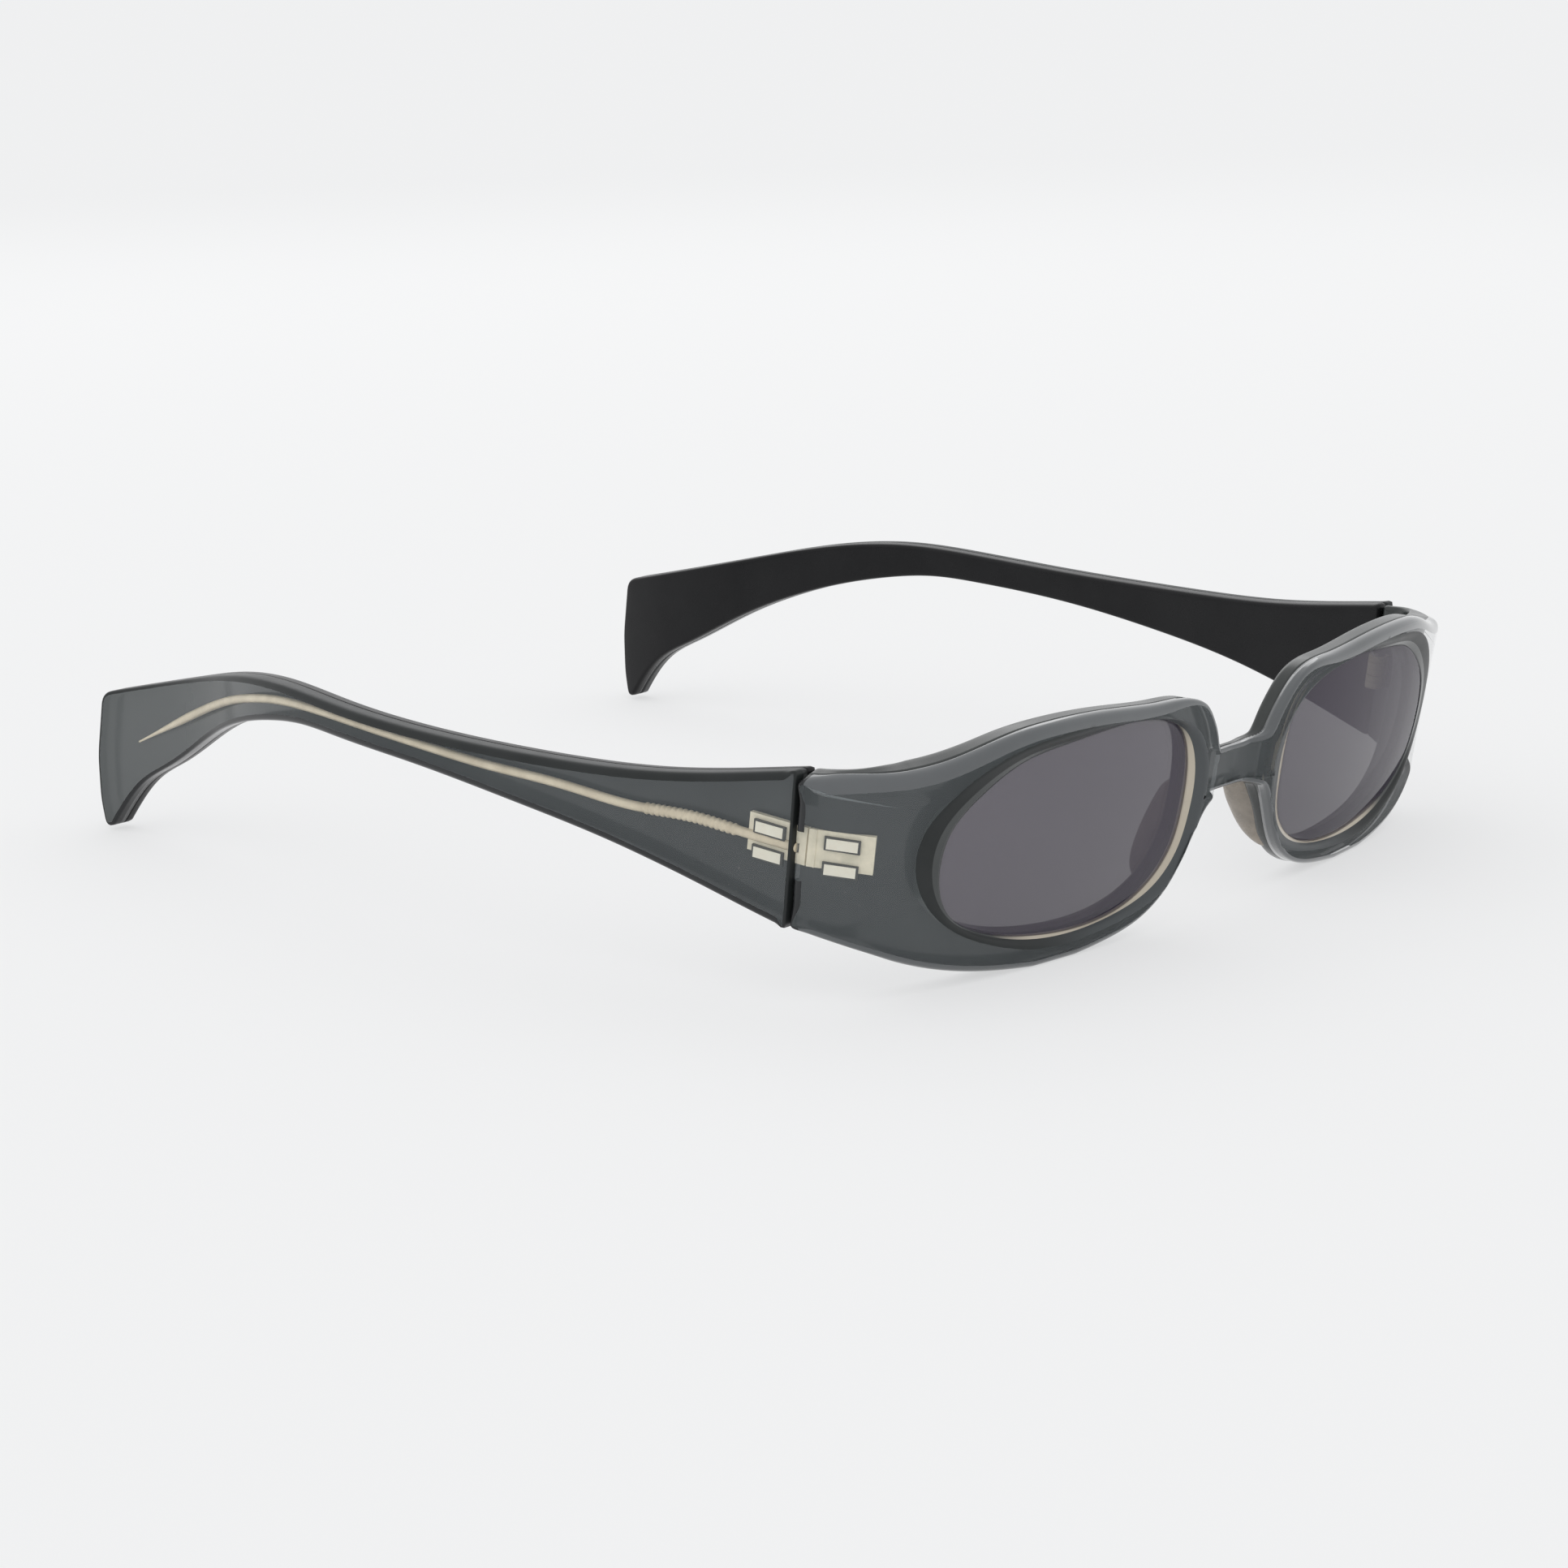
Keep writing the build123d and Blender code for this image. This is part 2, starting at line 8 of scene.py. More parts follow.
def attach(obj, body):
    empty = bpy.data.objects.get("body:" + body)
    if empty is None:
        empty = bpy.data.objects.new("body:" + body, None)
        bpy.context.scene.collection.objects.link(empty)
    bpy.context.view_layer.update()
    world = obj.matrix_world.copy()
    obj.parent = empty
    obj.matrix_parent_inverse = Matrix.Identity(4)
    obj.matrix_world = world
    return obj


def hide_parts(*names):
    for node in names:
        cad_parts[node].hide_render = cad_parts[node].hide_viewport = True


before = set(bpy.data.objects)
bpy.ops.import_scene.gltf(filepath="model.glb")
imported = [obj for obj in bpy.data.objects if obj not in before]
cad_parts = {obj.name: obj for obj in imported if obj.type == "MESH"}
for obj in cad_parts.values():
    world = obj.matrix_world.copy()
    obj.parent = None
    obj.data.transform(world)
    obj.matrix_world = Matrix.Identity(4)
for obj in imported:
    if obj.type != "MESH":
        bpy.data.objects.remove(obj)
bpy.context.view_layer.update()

# The drawing is in millimetres and degrees, and meshes are in metres
MM = 0.001

# Nose pads: the line they grow from in the rim, and their free edge, from the top down
PAD_ROOT = ((7.6, -74.6, 17.9), (9.2, -73.4, 13.2), (11.2, -72.2, 9.2), (13.6, -71.9, 5.6))
PAD_EDGE = (
    (6.8, -69.3, 18.6), (8.4, -67.6, 14.2), (11.0, -67.1, 10.2), (13.0, -67.9, 6.9),
    (13.9, -70.3, 4.7),
)
PAD_THICKNESS = 2.0

# Front seen from above, from the middle to its end at the seam: arcs as radius and turn
FACE_ARCS = ((185.99, 11.74), (77.3, 15.66), (8.0, 24.2), (58.9, 6.4), (7.0, 25.3))
BACK_ARCS = ((288.4, 7.44), (72.5, 18.66), (5.0, 52.9))
FACE_CHAIN = ((0.0, 5.075), -3.3, FACE_ARCS)
BACK_CHAIN = ((0.0, 8.44), 1.0, BACK_ARCS)
FRONT_TILT = 0.2
FRONT_HEIGHT = 31.95
FACE_LAYER = 1.7
BRIDGE_DATUM = 23.0
BRIDGE_TOP = 21.5
BRIDGE_BOTTOM = 16.0
FOOT_END = 0.56
FOOT_LENGTH = 7.5
SEAM_CORNER = 0.7

# Reaches along the face between which the front's walls turn from straight back to square
WALL_TURN = (38, 52)

# How far the end piece's top slopes down to its face, and where along and up the slope sets in
TOP_SLOPE = 1.1
TOP_SLOPE_REACH = (42, 58)
TOP_SLOPE_HEIGHT = (19, 28)

# Seam between the front and a temple, and how far from it its lean is eased out
HINGE_HEIGHT = 19.2
HINGE_LEAN = 0.15
SEAM_GAP = 0.25
SEAM_SET_BACK = 1.35
SEAM_LEAN = 0.11
SEAM_EASE = 18.0

# Front's end face at the seam, and the hinge plate in it: its middle under the hinge's height
END_FACE = 1.2
PLATE_DROP = 0.7
PLATE_REACH = 3.0

# Bridge, set back between the rims, and at its back edge less by a share
BRIDGE_REACH = 4.9
BRIDGE_EASE = 1.1
BRIDGE_SET_BACK = 1.9
BRIDGE_SPARED = 0.6
BRIDGE_INSET = 1.25
BRIDGE_ROWS = 5

# Rounding of the front's outer edge, across its face and down its wall: the plain size, what
# the brow and the seam add to it, what the nose takes off, and the size at the seam's corners
EDGE_ROUND = 0.85
BROW_ROUND = (0.75, 0.65)
SEAM_ROUND = (1.0, 0.3)
NOSE_ROUND = 0.35
CORNER_ROUND = 0.5

# Rounding of the front's inner edge, and what the nasal side adds to it
BACK_ROUND = 0.8
BACK_NOSE_ROUND = 1.3

# Heights and reaches over which the brow's and the nose's parts set in
BROW_HEIGHT = (20, 27)
BROW_REACH = (9, 20)
NOSE_REACH = (26, 16)
BACK_NOSE_HEIGHT = (16, 9)
BACK_NOSE_REACH = (30, 22)

# Opening's wall: the shares of the thickness at which the layers meet and at the back rings
LAYER_MEETING = 0.4
BACK_WALL = (1.0, 0.9, 0.75, 0.6)
BACK_WALL_ROUND = 0.4

# Dish round a lens: how far it ends over the lens, and its ridge's rounding in and out
DISH_OVER_LENS = 0.05
RIDGE_ROUND_IN = 0.35
RIDGE_ROUND_OUT = 0.45
# Rings at the dish's foot that take the finish with painted cream light
DISH_FOOT_RINGS = 4

# Temples seen from above, from the seam to the tip
TEMPLE_HEADING = 80.0
TEMPLE_ARCS = ((313.9, 12.05), (123.3, 21.0), (54.1, -32.5))
TEMPLE_LENGTH = 140.4
TEMPLE_HEIGHT = 29.0
TEMPLE_OUTER = 2.1
TEMPLE_DEPTH = 3.9

# Where a temple's plain span and its spine end, from the seam and from the tip
SPAN_ENDS = (1.2, 6.0)
SPINE_ENDS = (7.0, 12.0)
TIP_CORNER = 1.6
TEMPLE_SEAM_CORNER = 0.6

# Rounding of a temple's outer and inner edge, the most it reaches in on the inner face, its
# size at the seam, and the share it loses over a part of the length near the tip
OUTER_ROUND = 1.1
INNER_ROUND = 1.0
INNER_ROUND_ACROSS = 0.55
TEMPLE_SEAM_ROUND = 0.3
TIP_FLATTER = 0.55
TIP_PART = (0.55, 0.9)

# Lenses and their openings
LENS_REACH = 32.4
LENS_HEIGHT = 15.9
LENS_WRAP = 6.8
LENS_SET_BACK = 0.4
LENS_RADIUS = 120.0
LENS_THICKNESS = 1.5
HALF_OPENING = (21.2, 13.2)
LENS_BED = 0.3

# Core wires, from the seam to their drawn-out ends
WIRE_RADIUS = 0.6
WIRE_END_RADIUS = 0.15
WIRE_DRAWN = 14.0
WIRE_DEPTH = 1.15
WIRE_DROP = 0.45
WIRE_SHANK = (1.0, 5.0, 10.0, 15.5)
KNURL_START = 8.5
KNURL_PITCH = 0.8
KNURL_RINGS = 17
KNURL_HEIGHT = 0.16

# Stations round the front's half outline, along a temple, and round and across small pieces
FRONT_STATIONS = 560
TEMPLE_STATIONS = 260
LENS_STATIONS = 260
LENS_RINGS = 24
WIRE_SIDES = 20
PAD_STATIONS = 60
PAD_SIDES = 40

# Points on drawn lines, before they are spaced evenly, and the table of the plan lines
CURVE_POINTS = 900
LOWER_POINTS = 1100
JAW_POINTS = 500
RING_POINTS = 720
SEAM_POINTS = 200
CORNER_POINTS = 7
TABLE_LENGTH = 84
TABLE_STEPS = 2101

# Points nearer than this are one point, in metres
MERGE_REACH = 0.000002

# Places of the finishes on the outer layers
CLEAR, DISH, RIM, EDGE, PAINTED_SHADE_AND_DULL_EDGE = 0, 1, 2, 3, 4

# Painted shadow round the anchor lugs, a dark copy of each: wider and taller than a lug by these
# shares, and sunk
SHADOW_WIDEN = 1.14
SHADOW_HEIGHTEN = 1.3
SHADOW_SINK = 0.08
FRONT_SHADOW_HEADING = 62.0
TEMPLE_SHADOW_HEADING = 82.0

# Layers stand this far apart, so that a see-through face shares its place with no other
LAYER_GAP = 0.03

# Finishes: where in its noise a drifting colour starts and ends, and how rough a coat is
RAMP_ENDS = (0.3, 0.7)
COAT_ROUGHNESS = 0.04

# Specks by the hinge: cells to a metre, a dot's edge in its cell, the share of empty cells,
# and where in metres the specks lie and fade out
SPECK_CELLS = 900.0
SPECK_EDGE = (0.13, 0.09)
SPECK_RARE = 0.8
SPECK_MIDDLE = (0.0675, -0.056, 0.018)
SPECK_FADE = (0.013, 0.006)

# Camera: place and turn in metres and degrees, found from the outline in the photograph
CAMERA_PLACE = (-0.390157, -0.335378, 0.126334)
CAMERA_TURN = (-49.219, 13.106, -1.355)
CAMERA_SENSOR = 36.0
FOCAL_PIXELS = 4600.0
PICTURE_PIXELS = 1932.0

# Floor, sky and lamp, in metres and watts, and how much of the floor's look is even light
FLOOR_HALF = 6.0
FLOOR_EVEN = 0.62
FLOOR_LIGHT = (0.92, 0.925, 0.93, 1)
SKY_LIGHT = (0.985, 0.99, 1, 1)
SKY_STRENGTH = 0.88
WINDOW_SIZE = (0.9, 0.5)
WINDOW_PLACE = (0.55, 0.75, 0.65)
WINDOW_POWER = 1.2

# Outlines, as shares of the half width or the temple's length and of the height
BROW = (
    (0.055, 0.677), (0.084, 0.7), (0.103, 0.764), (0.131, 0.851), (0.162, 0.915),
    (0.201, 0.951), (0.29, 0.968), (0.42, 0.989), (0.57, 1.0), (0.7, 0.977),
    (0.82, 0.93), (0.94, 0.905), (1.0, 0.895),
)
JAW = ((1.0, 0.283), (0.95, 0.22), (0.86, 0.13), (0.74, 0.055), (FOOT_END, 0.0))
NASAL = (
    (0.323, 0.036), (0.247, 0.09), (0.188, 0.18), (0.149, 0.3), (0.12, 0.41),
    (0.095, 0.475), (0.055, 0.5),
)
TEMPLE_TOP = (
    (-0.06, 1.02), (0.022, 0.98), (0.08, 0.943), (0.137, 0.915), (0.252, 0.902),
    (0.3105, 0.907), (0.426, 0.928), (0.5425, 0.97), (0.636, 1.0), (0.7125, 0.976),
    (0.822, 0.874), (0.989, 0.697),
)
TEMPLE_BOTTOM = (
    (0.9886, 0.0), (0.936, 0.274), (0.894, 0.38), (0.822, 0.562), (0.7125, 0.756),
    (0.657, 0.808), (0.6, 0.833), (0.5425, 0.818), (0.426, 0.764), (0.3105, 0.68),
    (0.195, 0.569), (0.0795, 0.408), (-0.06, 0.205),
)
TEMPLE_END = ((0.989, 0.697), (1.0, 0.379), (1.0, 0.155), (0.9943, 0.0), (0.9886, 0.0))
RIDGE_OUTLINE = (
    (1.172, 0.06), (1.1, 0.47), (0.9, 0.81), (0.56, 1.02), (0.15, 1.085),
    (-0.3, 1.075), (-0.64, 0.985), (-0.93, 0.8), (-1.105, 0.44), (-1.145, 0.13),
    (-1.125, -0.13), (-1.06, -0.48), (-0.9, -0.77), (-0.6, -0.935), (-0.2, -1.015),
    (0.2, -1.01), (0.56, -0.88), (0.86, -0.68), (1.08, -0.37),
)
WIRE_LINE = (
    (0.175, 0.741), (0.253, 0.786), (0.341, 0.818), (0.427, 0.857), (0.497, 0.889),
    (0.556, 0.91), (0.608, 0.917), (0.656, 0.907), (0.7025, 0.878), (0.747, 0.838),
    (0.789, 0.788), (0.837, 0.716), (0.886, 0.624), (0.962, 0.462),
)
LENS_OUTLINE = (
    (1.035, 0.0), (0.975, 0.35), (0.8, 0.64), (0.5, 0.88), (0.15, 0.97),
    (-0.3, 1.015), (-0.65, 0.955), (-0.88, 0.78), (-0.985, 0.42), (-0.995, 0.0),
    (-0.935, -0.46), (-0.72, -0.79), (-0.3, -0.97), (0.17, -0.945), (0.65, -0.78),
    (0.94, -0.5),
)


def smooth_step(low, high, value):
    """Zero below low, one above high and 3 t^2 - 2 t^3 between them, t the share of the way."""
    t = np.clip((value - low) / (high - low), 0, 1)
    return t * t * (3 - 2 * t)


def walk(chain, reach):
    """Place and heading at lengths along tangent arcs: an arc turns the heading by its length
    over its radius, and past the last arc, or before the first, the line runs straight."""
    (x, y), heading, arcs = chain
    reach = np.asarray(reach, float)
    angle = np.full(reach.shape, math.radians(heading))
    before = np.minimum(reach, 0)
    x = x + before * np.cos(angle)
    y = y + before * np.sin(angle)
    left = np.maximum(reach, 0)
    for radius, turn in arcs:
        way = math.copysign(1, turn)
        bend = way * np.minimum(left / radius, math.radians(abs(turn)))
        x = x + way * radius * (np.sin(angle + bend) - np.sin(angle))
        y = y - way * radius * (np.cos(angle + bend) - np.cos(angle))
        angle = angle + bend
        left = left - radius * np.abs(bend)
    return x + left * np.cos(angle), y + left * np.sin(angle), angle


def lengths(points):
    """Length along a line of points up to each of them."""
    return np.concatenate([[0], np.cumsum(np.linalg.norm(np.diff(points, axis=0), axis=1))])


def unit(vectors):
    """Vectors drawn out or in to a length of one."""
    return vectors / np.linalg.norm(vectors, axis=-1)[..., None]


def evenly(points, count):
    """Points spaced by equal lengths along a line of points."""
    points = np.asarray(points, float)
    length = lengths(points)
    wanted = np.linspace(0, length[-1], count)
    return np.stack([np.interp(wanted, length, points[:, i]) for i in range(points.shape[1])], -1)


def spline(knots, count, closed=False):
    """A cubic spline through knots, over their chord lengths h: the second derivatives m solve
    h0 m0 + 2 (h0 + h1) m1 + h1 m2 = 6 (slope after - slope before), with m zero at open ends
    and running round a closed one."""
    knots = np.asarray(knots, float)
    if closed:
        knots = np.vstack([knots, knots[:1]])
    chords = np.linalg.norm(np.diff(knots, axis=0), axis=1)
    slopes = np.diff(knots, axis=0) / chords[:, None]
    last = len(knots) - 1
    equations = np.eye(last + 1)
    pull = np.zeros_like(knots)
    for k in range(0 if closed else 1, last):
        equations[k, k] = 2 * (chords[k - 1] + chords[k])
        equations[k, (k - 1) % last if closed else k - 1] = chords[k - 1]
        equations[k, k + 1] = chords[k]
        pull[k] = 6 * (slopes[k] - slopes[k - 1])
    if closed:
        equations[last, 0] = -1
    bends = np.linalg.solve(equations, pull)
    stations = np.concatenate([[0], np.cumsum(chords)])
    t = np.linspace(0, stations[-1], 12 * count)
    k = np.clip(np.searchsorted(stations, t, side="right") - 1, 0, last - 1)
    h = chords[k][:, None]
    after = (t - stations[k])[:, None] / h
    before = 1 - after
    curve = before * knots[k] + after * knots[k + 1]
    curve += h**2 / 6 * ((before**3 - before) * bends[k] + (after**3 - after) * bends[k + 1])
    if closed:
        return evenly(curve, count + 1)[:-1]
    return evenly(curve, count)


def shares(table, width, height, start=0.0):
    """Places given as shares of a width from a start and of a height."""
    return np.asarray(table, float) * (width, height) + (start, 0.0)


# Where the two plan lines of the front run, as tables along the face
chain_reach = np.linspace(0, TABLE_LENGTH, TABLE_STEPS)
face_x, face_y, face_heading = walk(FACE_CHAIN, chain_reach)
back_x, back_y, _ = walk(BACK_CHAIN, chain_reach)
face_length = sum(radius * math.radians(abs(turn)) for radius, turn in FACE_ARCS)
half_width, end_y = (float(value) for value in walk(FACE_CHAIN, face_length)[:2])
seam_y = end_y - FRONT_TILT * HINGE_HEIGHT
front_y = (FRONT_TILT * BRIDGE_DATUM - seam_y - TEMPLE_LENGTH) / 2


def square_depths():
    """How thick the front is square to its face, for each step of the table: the line square
    to the face chain is followed to the back chain."""
    dx = back_x[None] - face_x[:, None]
    dy = back_y[None] - face_y[:, None]
    cosine, sine = np.cos(face_heading)[:, None], np.sin(face_heading)[:, None]
    along = dx * cosine + dy * sine
    across = dy * cosine - dx * sine
    nearest = np.argmin(np.abs(along) + 100 * (across < 0), axis=1)
    return np.take_along_axis(across, nearest[:, None], 1)[:, 0]


depth_table = square_depths()
straight_depth_table = np.interp(face_x, back_x, back_y) - face_y


def wall_parts(reach):
    """How far out along the face a reach is, from 0 to 1, and the front's thickness there along
    the temples and square to the face."""
    straight = np.interp(reach, chain_reach, straight_depth_table)
    return smooth_step(*WALL_TURN, reach), straight, np.interp(reach, chain_reach, depth_table)


def front_depth(reach):
    """Thickness of the front at a reach: along the temples near the nose, square further out."""
    out, straight, square = wall_parts(reach)
    return (1 - out) * straight + out * square


def front_plan(reach, share):
    """Plan place at a reach and a share of the thickness. Near the nose the walls run straight
    back, and further out they are square to the face."""
    x, y, heading = walk(FACE_CHAIN, reach)
    out, straight, square = wall_parts(reach)
    straight, square = straight * share, square * share
    return (
        x - out * square * np.sin(heading),
        y + (1 - out) * straight + out * square * np.cos(heading),
    )


def on_front(places):
    """Reach and share of the thickness of places given in millimetres: Newton steps on the
    plan place, whose two slopes are taken by small differences."""
    x = places[..., 0]
    y = places[..., 1] - front_y + FRONT_TILT * places[..., 2]
    reach = np.interp(x, face_x, chain_reach)
    share = np.zeros_like(reach)
    small = 0.01
    for _ in range(8):
        here_x, here_y = front_plan(reach, share)
        on_x, on_y = front_plan(reach + small, share)
        in_x, in_y = front_plan(reach, share + small)
        a, b = (on_x - here_x) / small, (in_x - here_x) / small
        c, d = (on_y - here_y) / small, (in_y - here_y) / small
        miss_x, miss_y = x - here_x, y - here_y
        size = a * d - b * c
        reach = reach + (d * miss_x - b * miss_y) / size
        share = share + (a * miss_y - c * miss_x) / size
    return reach, share


def to_face(outline):
    """A front outline drawn in width and height, laid along the face as reach and height."""
    return np.stack([np.interp(outline[:, 0], face_x, chain_reach), outline[:, 1]], -1)


def pulled(before, corner, after, t):
    """A parabola from before to after that a corner pulls: (1-t)^2 a + 2 t (1-t) b + t^2 c."""
    return (1 - t) ** 2 * before + 2 * t * (1 - t) * corner + t**2 * after


def rounded_chain(lines, radius):
    """Lines joined end to end, with each joint between them eased over a radius."""
    joined = []
    t = np.linspace(0, 1, CORNER_POINTS)[1:-1, None]
    for k, line in enumerate(lines):
        from_start = np.linalg.norm(line - line[0], axis=1)
        from_end = np.linalg.norm(line - line[-1], axis=1)
        last = k == len(lines) - 1
        kept = line[((k == 0) | (from_start >= radius)) & (last | (from_end >= radius))]
        if joined:
            joined.append(pulled(joined[-1][-1], line[0], kept[0], t))
        joined.append(kept)
    return np.vstack(joined)


def inward(loop, closed=True):
    """Unit directions square to a loop that runs clockwise, towards its inside."""
    if closed:
        ahead = np.roll(loop, -1, axis=0) - np.roll(loop, 1, axis=0)
    else:
        ahead = np.gradient(loop, axis=0)
    return unit(np.stack([ahead[:, 1], -ahead[:, 0]], -1))


def half_outline():
    """Half the front's outline on its face, clockwise from the bridge's top over the brow, down
    the seam, along the jaw, up the nasal edge and up the middle, and its inward directions."""
    middle_top = (0.0, BRIDGE_TOP)
    middle_bottom = (0.0, BRIDGE_BOTTOM)
    brow = shares(BROW, half_width, FRONT_HEIGHT)
    mirrored = brow[:2][::-1] * (-1, 1)
    top = spline(np.vstack([mirrored, [middle_top], brow]), CURVE_POINTS)
    top = top[top[:, 0] >= 0]
    top[0] = middle_top
    jaw = spline(shares(JAW, half_width, FRONT_HEIGHT), JAW_POINTS)
    foot_start = (FOOT_END * half_width - FOOT_LENGTH, 0.0)
    nasal_knots = shares(NASAL, half_width, FRONT_HEIGHT)
    over = nasal_knots[-2:][::-1] * (-1, 1)
    nasal = spline(np.vstack([[foot_start], nasal_knots, [middle_bottom], over]), CURVE_POINTS)
    nasal = nasal[nasal[:, 0] >= 0]
    nasal[-1] = middle_bottom
    foot = np.linspace(jaw[-1], foot_start, 40)[1:-1]
    top, low = to_face(top), to_face(np.vstack([jaw, foot, nasal]))
    top[-1, 0] = low[0, 0] = face_length
    seam = np.linspace(top[-1], low[0], SEAM_POINTS)
    lines = [evenly(top, CURVE_POINTS), seam, evenly(low, LOWER_POINTS)]
    loop = evenly(rounded_chain(lines, SEAM_CORNER), FRONT_STATIONS)
    aside = inward(loop, closed=False)
    aside[0], aside[-1] = (0, -1), (0, 1)
    rise = np.linspace(BRIDGE_BOTTOM + BRIDGE_INSET, BRIDGE_TOP - BRIDGE_INSET, BRIDGE_ROWS)
    middle = np.stack([np.zeros(BRIDGE_ROWS), rise], -1)
    return np.vstack([loop, middle]), np.vstack([aside, np.zeros_like(middle)])


# Lens frame: its middle lies back from the face, and it leans and wraps with the front
lens_middle_x, lens_middle_y, _ = walk(FACE_CHAIN, LENS_REACH)
lens_tan = math.tan(math.radians(LENS_WRAP))
lens_middle = np.array([
    lens_middle_x,
    front_y + lens_middle_y + LENS_SET_BACK - FRONT_TILT * LENS_HEIGHT,
    LENS_HEIGHT,
])
lens_across = np.array([1, lens_tan, 0]) / math.hypot(1, lens_tan)
lens_out = unit(np.array([lens_tan, -1, -FRONT_TILT]))
lens_up = np.cross(lens_out, lens_across)


def lens_space(outline, out):
    """Places over the lens's middle: plus across and up, plus out square to its plane."""
    across, up = outline[..., 0:1], outline[..., 1:2]
    out = np.broadcast_to(np.asarray(out, float), outline.shape[:-1])[..., None]
    return lens_middle + across * lens_across + up * lens_up + out * lens_out


def opening_on(flat, share):
    """Reach, height and share where lines square to the lens's plane, through places drawn in
    that plane, meet a share of the front's thickness."""
    out = np.zeros(len(flat))
    share = np.broadcast_to(share, out.shape)
    for _ in range(10):
        places = lens_space(flat, out)
        reach, reached = on_front(places)
        out = out + (reached - share) * front_depth(reach)
    return np.stack([reach, places[:, 2], share], -1)


def lens_face(flat, over):
    """Reach, height and share of places a little over the lens's outer face."""
    out = np.sqrt(LENS_RADIUS**2 - np.sum(flat**2, axis=1)) - LENS_RADIUS + over
    places = lens_space(flat, out)
    reach, share = on_front(places)
    return np.stack([reach, places[:, 2], share], -1)


def facing(outline):
    """For each outline place, the opening's and the ridge's place in the same direction from
    the lens's middle, both axes being shares of the opening's half sizes."""
    seen = (outline - (LENS_REACH, LENS_HEIGHT)) / HALF_OPENING
    wanted = np.unwrap(np.arctan2(seen[:, 1], seen[:, 0]))
    found = []
    for table in (LENS_OUTLINE, RIDGE_OUTLINE):
        ring = spline(shares(table, *HALF_OPENING), RING_POINTS, closed=True)
        across, up = (ring / HALF_OPENING).T
        angle = np.unwrap(np.arctan2(up, across))
        x, y = (np.interp(wanted, angle, axis, period=2 * math.pi) for axis in ring.T)
        found.append(np.stack([x, y], -1))
    return found


def with_share(flat, share):
    """Flat places, each with a share of the thickness after it."""
    return np.column_stack([flat, np.broadcast_to(share, len(flat))])


def charted(flat, depth):
    """Rows of reach, height and share of the front's thickness from flat places and a depth."""
    return with_share(flat, depth / front_depth(flat[:, 0]))


def between(first, last, count):
    """Rows spaced evenly from one row to another, without the first."""
    t = np.linspace(0, 1, count + 1)[1:, None, None]
    return list(first + (last - first) * t)


def eased_rows(before, corner, after, count):
    """Rows along the parabola that a corner row pulls, without the first."""
    return list(pulled(before, corner, after, np.linspace(0, 1, count + 1)[1:, None, None]))


def towards(here, there, distance):
    """Rows moved a distance from here towards there."""
    gap = there - here
    return here + gap * distance / np.linalg.norm(gap[:, :2], axis=1)[:, None]


outline, aside = half_outline()
opening, ridge = facing(outline)


def edge_sizes():
    """How far the outer edge's rounding reaches in on the face and down the wall: wide along
    the brow and at the seam, where the mould's edge is pillowed, and tight at the nose."""
    along, height = outline.T
    brow_part = smooth_step(*BROW_HEIGHT, height) * smooth_step(*BROW_REACH, along)
    near_seam = smooth_step(face_length - 1.5, face_length - 0.2, along)
    corner_low, corner_high = FRONT_HEIGHT * JAW[0][1], FRONT_HEIGHT * BROW[-1][1]
    inset = np.minimum(height - corner_low, corner_high - height)
    along_seam = near_seam * smooth_step(0.5, 3.5, inset)
    at_corner = smooth_step(face_length - 3.0, face_length - 1.0, along)
    at_nose = smooth_step(*NOSE_REACH, along)
    plain = EDGE_ROUND + BROW_ROUND[0] * brow_part - NOSE_ROUND * at_nose
    across = plain * (1 - at_corner) + CORNER_ROUND * at_corner + SEAM_ROUND[0] * along_seam
    down = EDGE_ROUND + BROW_ROUND[1] * brow_part + SEAM_ROUND[1] * near_seam
    return across, down - NOSE_ROUND * at_nose


def back_edge_size():
    """How far the inner edge is rounded: widely on the nasal side, where it meets the nose."""
    along, height = outline.T
    nose_part = smooth_step(*BACK_NOSE_REACH, along) * smooth_step(*BACK_NOSE_HEIGHT, height)
    return BACK_ROUND + BACK_NOSE_ROUND * nose_part


def face_layer_rows():
    """The outer layer of the front as rings round the opening, from the opening's wall over the
    dished cut and its ridge, the face, the rounded outer edge and the wall, and back under the
    layer. The count of rows in each band follows, for the finishes."""
    across, down = edge_sizes()
    under = FACE_LAYER - LAYER_GAP
    foot_in = charted(opening_on(opening, LAYER_MEETING)[:, :2], under)
    lens_edge = lens_face(opening, DISH_OVER_LENS)
    edge = opening_on(ridge, 0.0)
    rim_row = charted(outline + aside * across[:, None], 0.0)
    start = towards(edge, rim_row, RIDGE_ROUND_OUT)
    before = towards(edge, lens_edge, RIDGE_ROUND_IN)
    wall_top, foot = charted(outline, down), charted(outline, under)
    bands = [
        [foot_in],
        between(foot_in, lens_edge, 4),
        between(lens_edge, before, 9),
        eased_rows(before, edge, start, 6),
        between(start, rim_row, 16),
        eased_rows(rim_row, charted(outline, 0.0), wall_top, 8),
        between(wall_top, foot, 2),
        between(foot, foot_in, 8)[:-1],
    ]
    return np.array(sum(bands, [])), [len(band) for band in bands]


